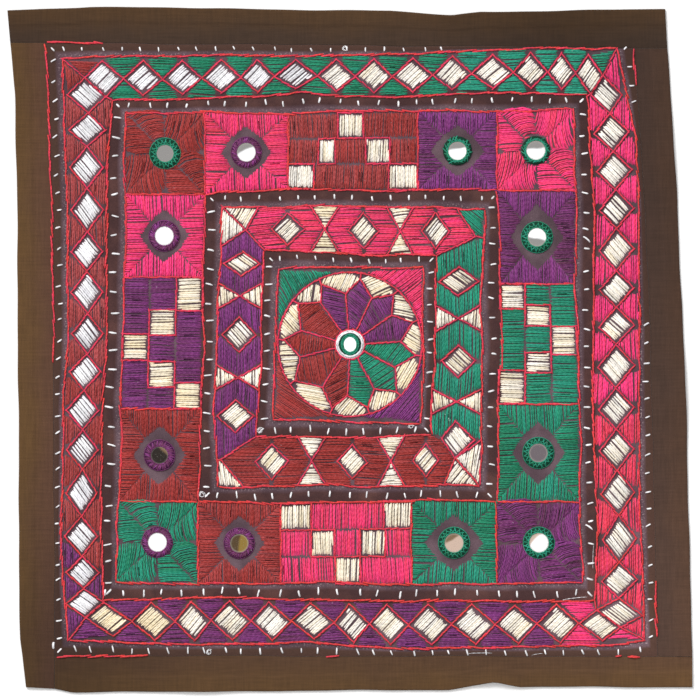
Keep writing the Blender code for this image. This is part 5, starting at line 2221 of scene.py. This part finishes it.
class ClothColours(bpy.types.PropertyGroup):
    """The cotton of the ground and of the border strips, and what the mirrors show."""

    ground: colour("Ground", "Bare ground between the motifs", 88, 68, 76)
    ground_worn: colour("Ground, worn", "Ground where it has worn", 112, 90, 98)
    strip: colour("Dark strip", "Padded dark strips beside the outlines", 72, 47, 47)
    strip_worn: colour("Dark strip, worn", "Dark strips where they have worn", 92, 61, 57)
    strip_brown: colour("Strip by the seam", "Dark strip beside the seam", 80, 56, 47)
    lint: colour("Lint", "Pale lint beside the outlines", 196, 174, 172)
    # Pale rim colour of the mirrors: partly dust, partly a painted highlight
    dust: colour("Dust", "Dust on the rims of the mirrors", 176, 170, 160)


class StageSettings(bpy.types.PropertyGroup):
    """The studio."""

    key: FloatProperty(name="Key", description="Strength of the key light", default=2.5, min=0.0)
    fill: FloatProperty(name="Fill", description="Strength of the light all round", default=0.40, min=0.0)
    overhead: FloatProperty(
        name="Overhead",
        description="Power of the screen that the mirrors show",
        default=7.0,
        min=0.0,
        subtype="POWER",
        unit="POWER",
    )
    floor: colour("Floor", "Colour of the floor", 246, 246, 246)


class TableclothSettings(bpy.types.PropertyGroup):
    """All settings of the tablecloth."""

    stitches: PointerProperty(type=StitchSettings)
    threads: PointerProperty(type=ThreadColours)
    cloth: PointerProperty(type=ClothColours)
    stage: PointerProperty(type=StageSettings)


def shades(threads, name):
    """The two shades of a thread."""
    return getattr(threads, name), getattr(threads, name + "_second")


class TABLECLOTH_OT_ground(bpy.types.Operator):
    """Make the ground cloth with its padded strips"""

    bl_idname = "tablecloth.ground"
    bl_label = "Ground cloth"

    def execute(self, context):
        made = ground_material(context.scene.tablecloth.cloth)
        obj = mesh_object("cloth_panel", ground_mesh(), made)
        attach(obj, "root")
        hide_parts("panel")
        return {"FINISHED"}


class TABLECLOTH_OT_borders(bpy.types.Operator):
    """Make the four hemmed border strips"""

    bl_idname = "tablecloth.borders"
    bl_label = "Border strips"

    def execute(self, context):
        for side, inner, outer in strip_outlines():
            row = BORDERS[side]
            obj = mesh_object("strip_" + side, strip_mesh(side, inner, outer), border_material(row))
            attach(obj, "root")
            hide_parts("border_" + side)
        return {"FINISHED"}


class TABLECLOTH_OT_satin(bpy.types.Operator):
    """Fill the motifs with satin stitches, one piece for each thread"""

    bl_idname = "tablecloth.satin"
    bl_label = "Satin stitches"

    def execute(self, context):
        settings = context.scene.tablecloth
        rng = random.Random(settings.stitches.seed)
        stitches = {name: [] for name in THREADS}
        for fill in band_fills() + block_fills() + frieze_fills() + centre_fills():
            stitches[fill.thread] += satin(fill, rng)
        for name, laid in stitches.items():
            made = thread_material(name, shades(settings.threads, name))
            laid_stitches("satin_" + name, laid, made, settings.stitches)
        return {"FINISHED"}


class TABLECLOTH_OT_outlines(bpy.types.Operator):
    """Lay the red outlines in stem stitch"""

    bl_idname = "tablecloth.outlines"
    bl_label = "Outlines"

    def execute(self, context):
        settings = context.scene.tablecloth
        rng = random.Random(settings.stitches.seed + OUTLINE_DRAWS)
        made = thread_material("line", shades(settings.threads, "line"), LINE_TWIST)
        for name, lines, line in (("frames", frame_lines, FRAME_LINE), ("motifs", motif_lines, MOTIF_LINE)):
            laid = [one for points in lines() for one in outline_stitch(points, line, rng)]
            laid_stitches("outlines_" + name, laid, made, settings.stitches)
        return {"FINISHED"}


class TABLECLOTH_OT_running(bpy.types.Operator):
    """Lay the white running stitches and loose ends in the bare channels"""

    bl_idname = "tablecloth.running"
    bl_label = "Running stitches"

    def execute(self, context):
        options = context.scene.tablecloth.stitches
        laid = running_stitches(random.Random(options.seed + RUNNING_DRAWS))
        laid_stitches("running_stitches", laid, bpy.data.materials["thread_white"], options)
        return {"FINISHED"}


class TABLECLOTH_OT_rings(bpy.types.Operator):
    """Work the thread rings that hold the mirrors"""

    bl_idname = "tablecloth.rings"
    bl_label = "Mirror rings"

    def execute(self, context):
        settings = context.scene.tablecloth
        rng = random.Random(settings.stitches.seed + RING_DRAWS)
        laid = {"green": [], "purple": [], "white": []}
        rings = {"green": {}, "purple": {}}
        for number, row, centre in placed_mirrors():
            make = MAKES[row.make]
            rings[row.thread][f"mirror_ring_{number:02d}"] = (centre, row, make.squeeze)
            laid[row.thread] += ring_loops(centre, row, make, rng)
            for cord in (c for c in CORDS if c.make == row.make):
                name = row.thread if cord.thread == "ring" else cord.thread
                laid[name] += round_cord(centre, row, cord, make, rng)
        for name, cores in rings.items():
            self.ring_piece(settings, name, laid[name], cores)
        laid_stitches("ring_white", laid["white"], bpy.data.materials["thread_white"], settings.stitches)
        return {"FINISHED"}

    def ring_piece(self, settings, name, laid, cores):
        """The rings of one thread: their stitches and the cores that these cover."""
        obj = laid_stitches("ring_" + name, laid, bpy.data.materials["thread_" + name], settings.stitches)
        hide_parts(*cores)
        "ring_thread_" + name
        bm = bmesh.new()
        for core in cores.values():
            add_core(bm, *core)
        dark = core_material(name, shades(settings.threads, name)[0])
        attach(mesh_object("ring_core_" + name, bm, dark, CORE_SMOOTH_ANGLE), "root")


class TABLECLOTH_OT_mirrors(bpy.types.Operator):
    """Give each mirror its glass"""

    bl_idname = "tablecloth.mirrors"
    bl_label = "Mirrors"

    def execute(self, context):
        tints = {name: tint(*screen) for name, screen in PAINTED_MIRROR_REFLECTIONS.items()}
        tints["dust"] = context.scene.tablecloth.cloth.dust
        for number, row, centre in placed_mirrors():
            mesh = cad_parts[f"mirror_{number:02d}"].data
            mesh.materials.clear()
            mesh.materials.append(mirror_material(number, row, centre, tints))
        return {"FINISHED"}


class TABLECLOTH_OT_stage(bpy.types.Operator):
    """Set up the floor, the lights and the camera that looks straight down"""

    bl_idname = "tablecloth.stage"
    bl_label = "Studio"

    def execute(self, context):
        stage = context.scene.tablecloth.stage
        bm = bmesh.new()
        bmesh.ops.create_grid(bm, x_segments=1, y_segments=1, size=FLOOR_SIZE / 2 / MM)
        for vert in bm.verts:
            vert.co.z = -FLOOR_DROP / MM
        made, t = new_material("floor")
        grain = t.noise(t.place(), *FLOOR_GRAIN)
        t.surface(
            Base_Color=t.mix(grain * FLOOR_GRAIN_SHARE, stage.floor, FLOOR_GREY),
            Emission_Color=rgba(WHITE_LIGHT),
            **FLOOR_SURFACE,
        )
        floor = mesh_object("floor", bm, made)
        if floor.data.polygons[0].normal.z < 0:
            floor.data.flip_normals()
        world = bpy.data.worlds.new("studio")
        world.use_nodes = True
        sky = Tree(world.node_tree)
        light = {"Color": rgba(WHITE_LIGHT), "Strength": stage.fill}
        background = sky.node("ShaderNodeBackground", {}, light)
        sky.node("ShaderNodeOutputWorld", {}, {"Surface": background})
        context.scene.world = world
        key = bpy.data.lights.new("key", "SUN")
        key.energy = stage.key
        key.angle = math.radians(KEY_SOFTNESS)
        linked("key", key, turn=KEY_TURN)
        above = bpy.data.lights.new("overhead", "AREA")
        above.energy = stage.overhead
        above.size = OVERHEAD_SIZE
        linked("overhead", above, (0.0, 0.0, OVERHEAD_HEIGHT))
        camera = bpy.data.cameras.new("camera")
        camera.type = "ORTHO"
        camera.ortho_scale = PHOTO_WIDTH
        context.scene.camera = linked("camera", camera, (0.0, 0.0, CAMERA_HEIGHT))
        context.scene.view_settings.view_transform = "Standard"
        return {"FINISHED"}


class TABLECLOTH_PT_panel(bpy.types.Panel):
    """The tablecloth's settings and the makers of its pieces"""

    bl_idname = "TABLECLOTH_PT_panel"
    bl_label = "Embroidered tablecloth"
    bl_space_type = "VIEW_3D"
    bl_region_type = "UI"
    bl_category = "Tablecloth"

    def draw(self, context):
        settings = context.scene.tablecloth
        for group in (settings.stitches, settings.threads, settings.cloth, settings.stage):
            box = self.layout.box()
            for name in group.bl_rna.properties.keys():
                if name not in ("rna_type", "name"):
                    box.prop(group, name)
        for operator in OPERATORS:
            self.layout.operator(operator.bl_idname)


OPERATORS = (
    TABLECLOTH_OT_ground,
    TABLECLOTH_OT_borders,
    TABLECLOTH_OT_satin,
    TABLECLOTH_OT_outlines,
    TABLECLOTH_OT_running,
    TABLECLOTH_OT_rings,
    TABLECLOTH_OT_mirrors,
    TABLECLOTH_OT_stage,
)
CLASSES = (
    StitchSettings,
    ThreadColours,
    ClothColours,
    StageSettings,
    TableclothSettings,
) + OPERATORS + (TABLECLOTH_PT_panel,)


def register():
    for made in CLASSES:
        bpy.utils.register_class(made)
    bpy.types.Scene.tablecloth = PointerProperty(type=TableclothSettings)


def unregister():
    del bpy.types.Scene.tablecloth
    for made in reversed(CLASSES):
        bpy.utils.unregister_class(made)


def main():
    register()
    bpy.ops.tablecloth.ground()
    bpy.ops.tablecloth.borders()
    bpy.ops.tablecloth.satin()
    bpy.ops.tablecloth.outlines()
    bpy.ops.tablecloth.running()
    bpy.ops.tablecloth.rings()
    bpy.ops.tablecloth.mirrors()
    bpy.ops.tablecloth.stage()
    bpy.data.objects.remove(bpy.data.objects["unit_stitch"], do_unlink=True)
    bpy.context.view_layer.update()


if __name__ == "__main__":
    main()
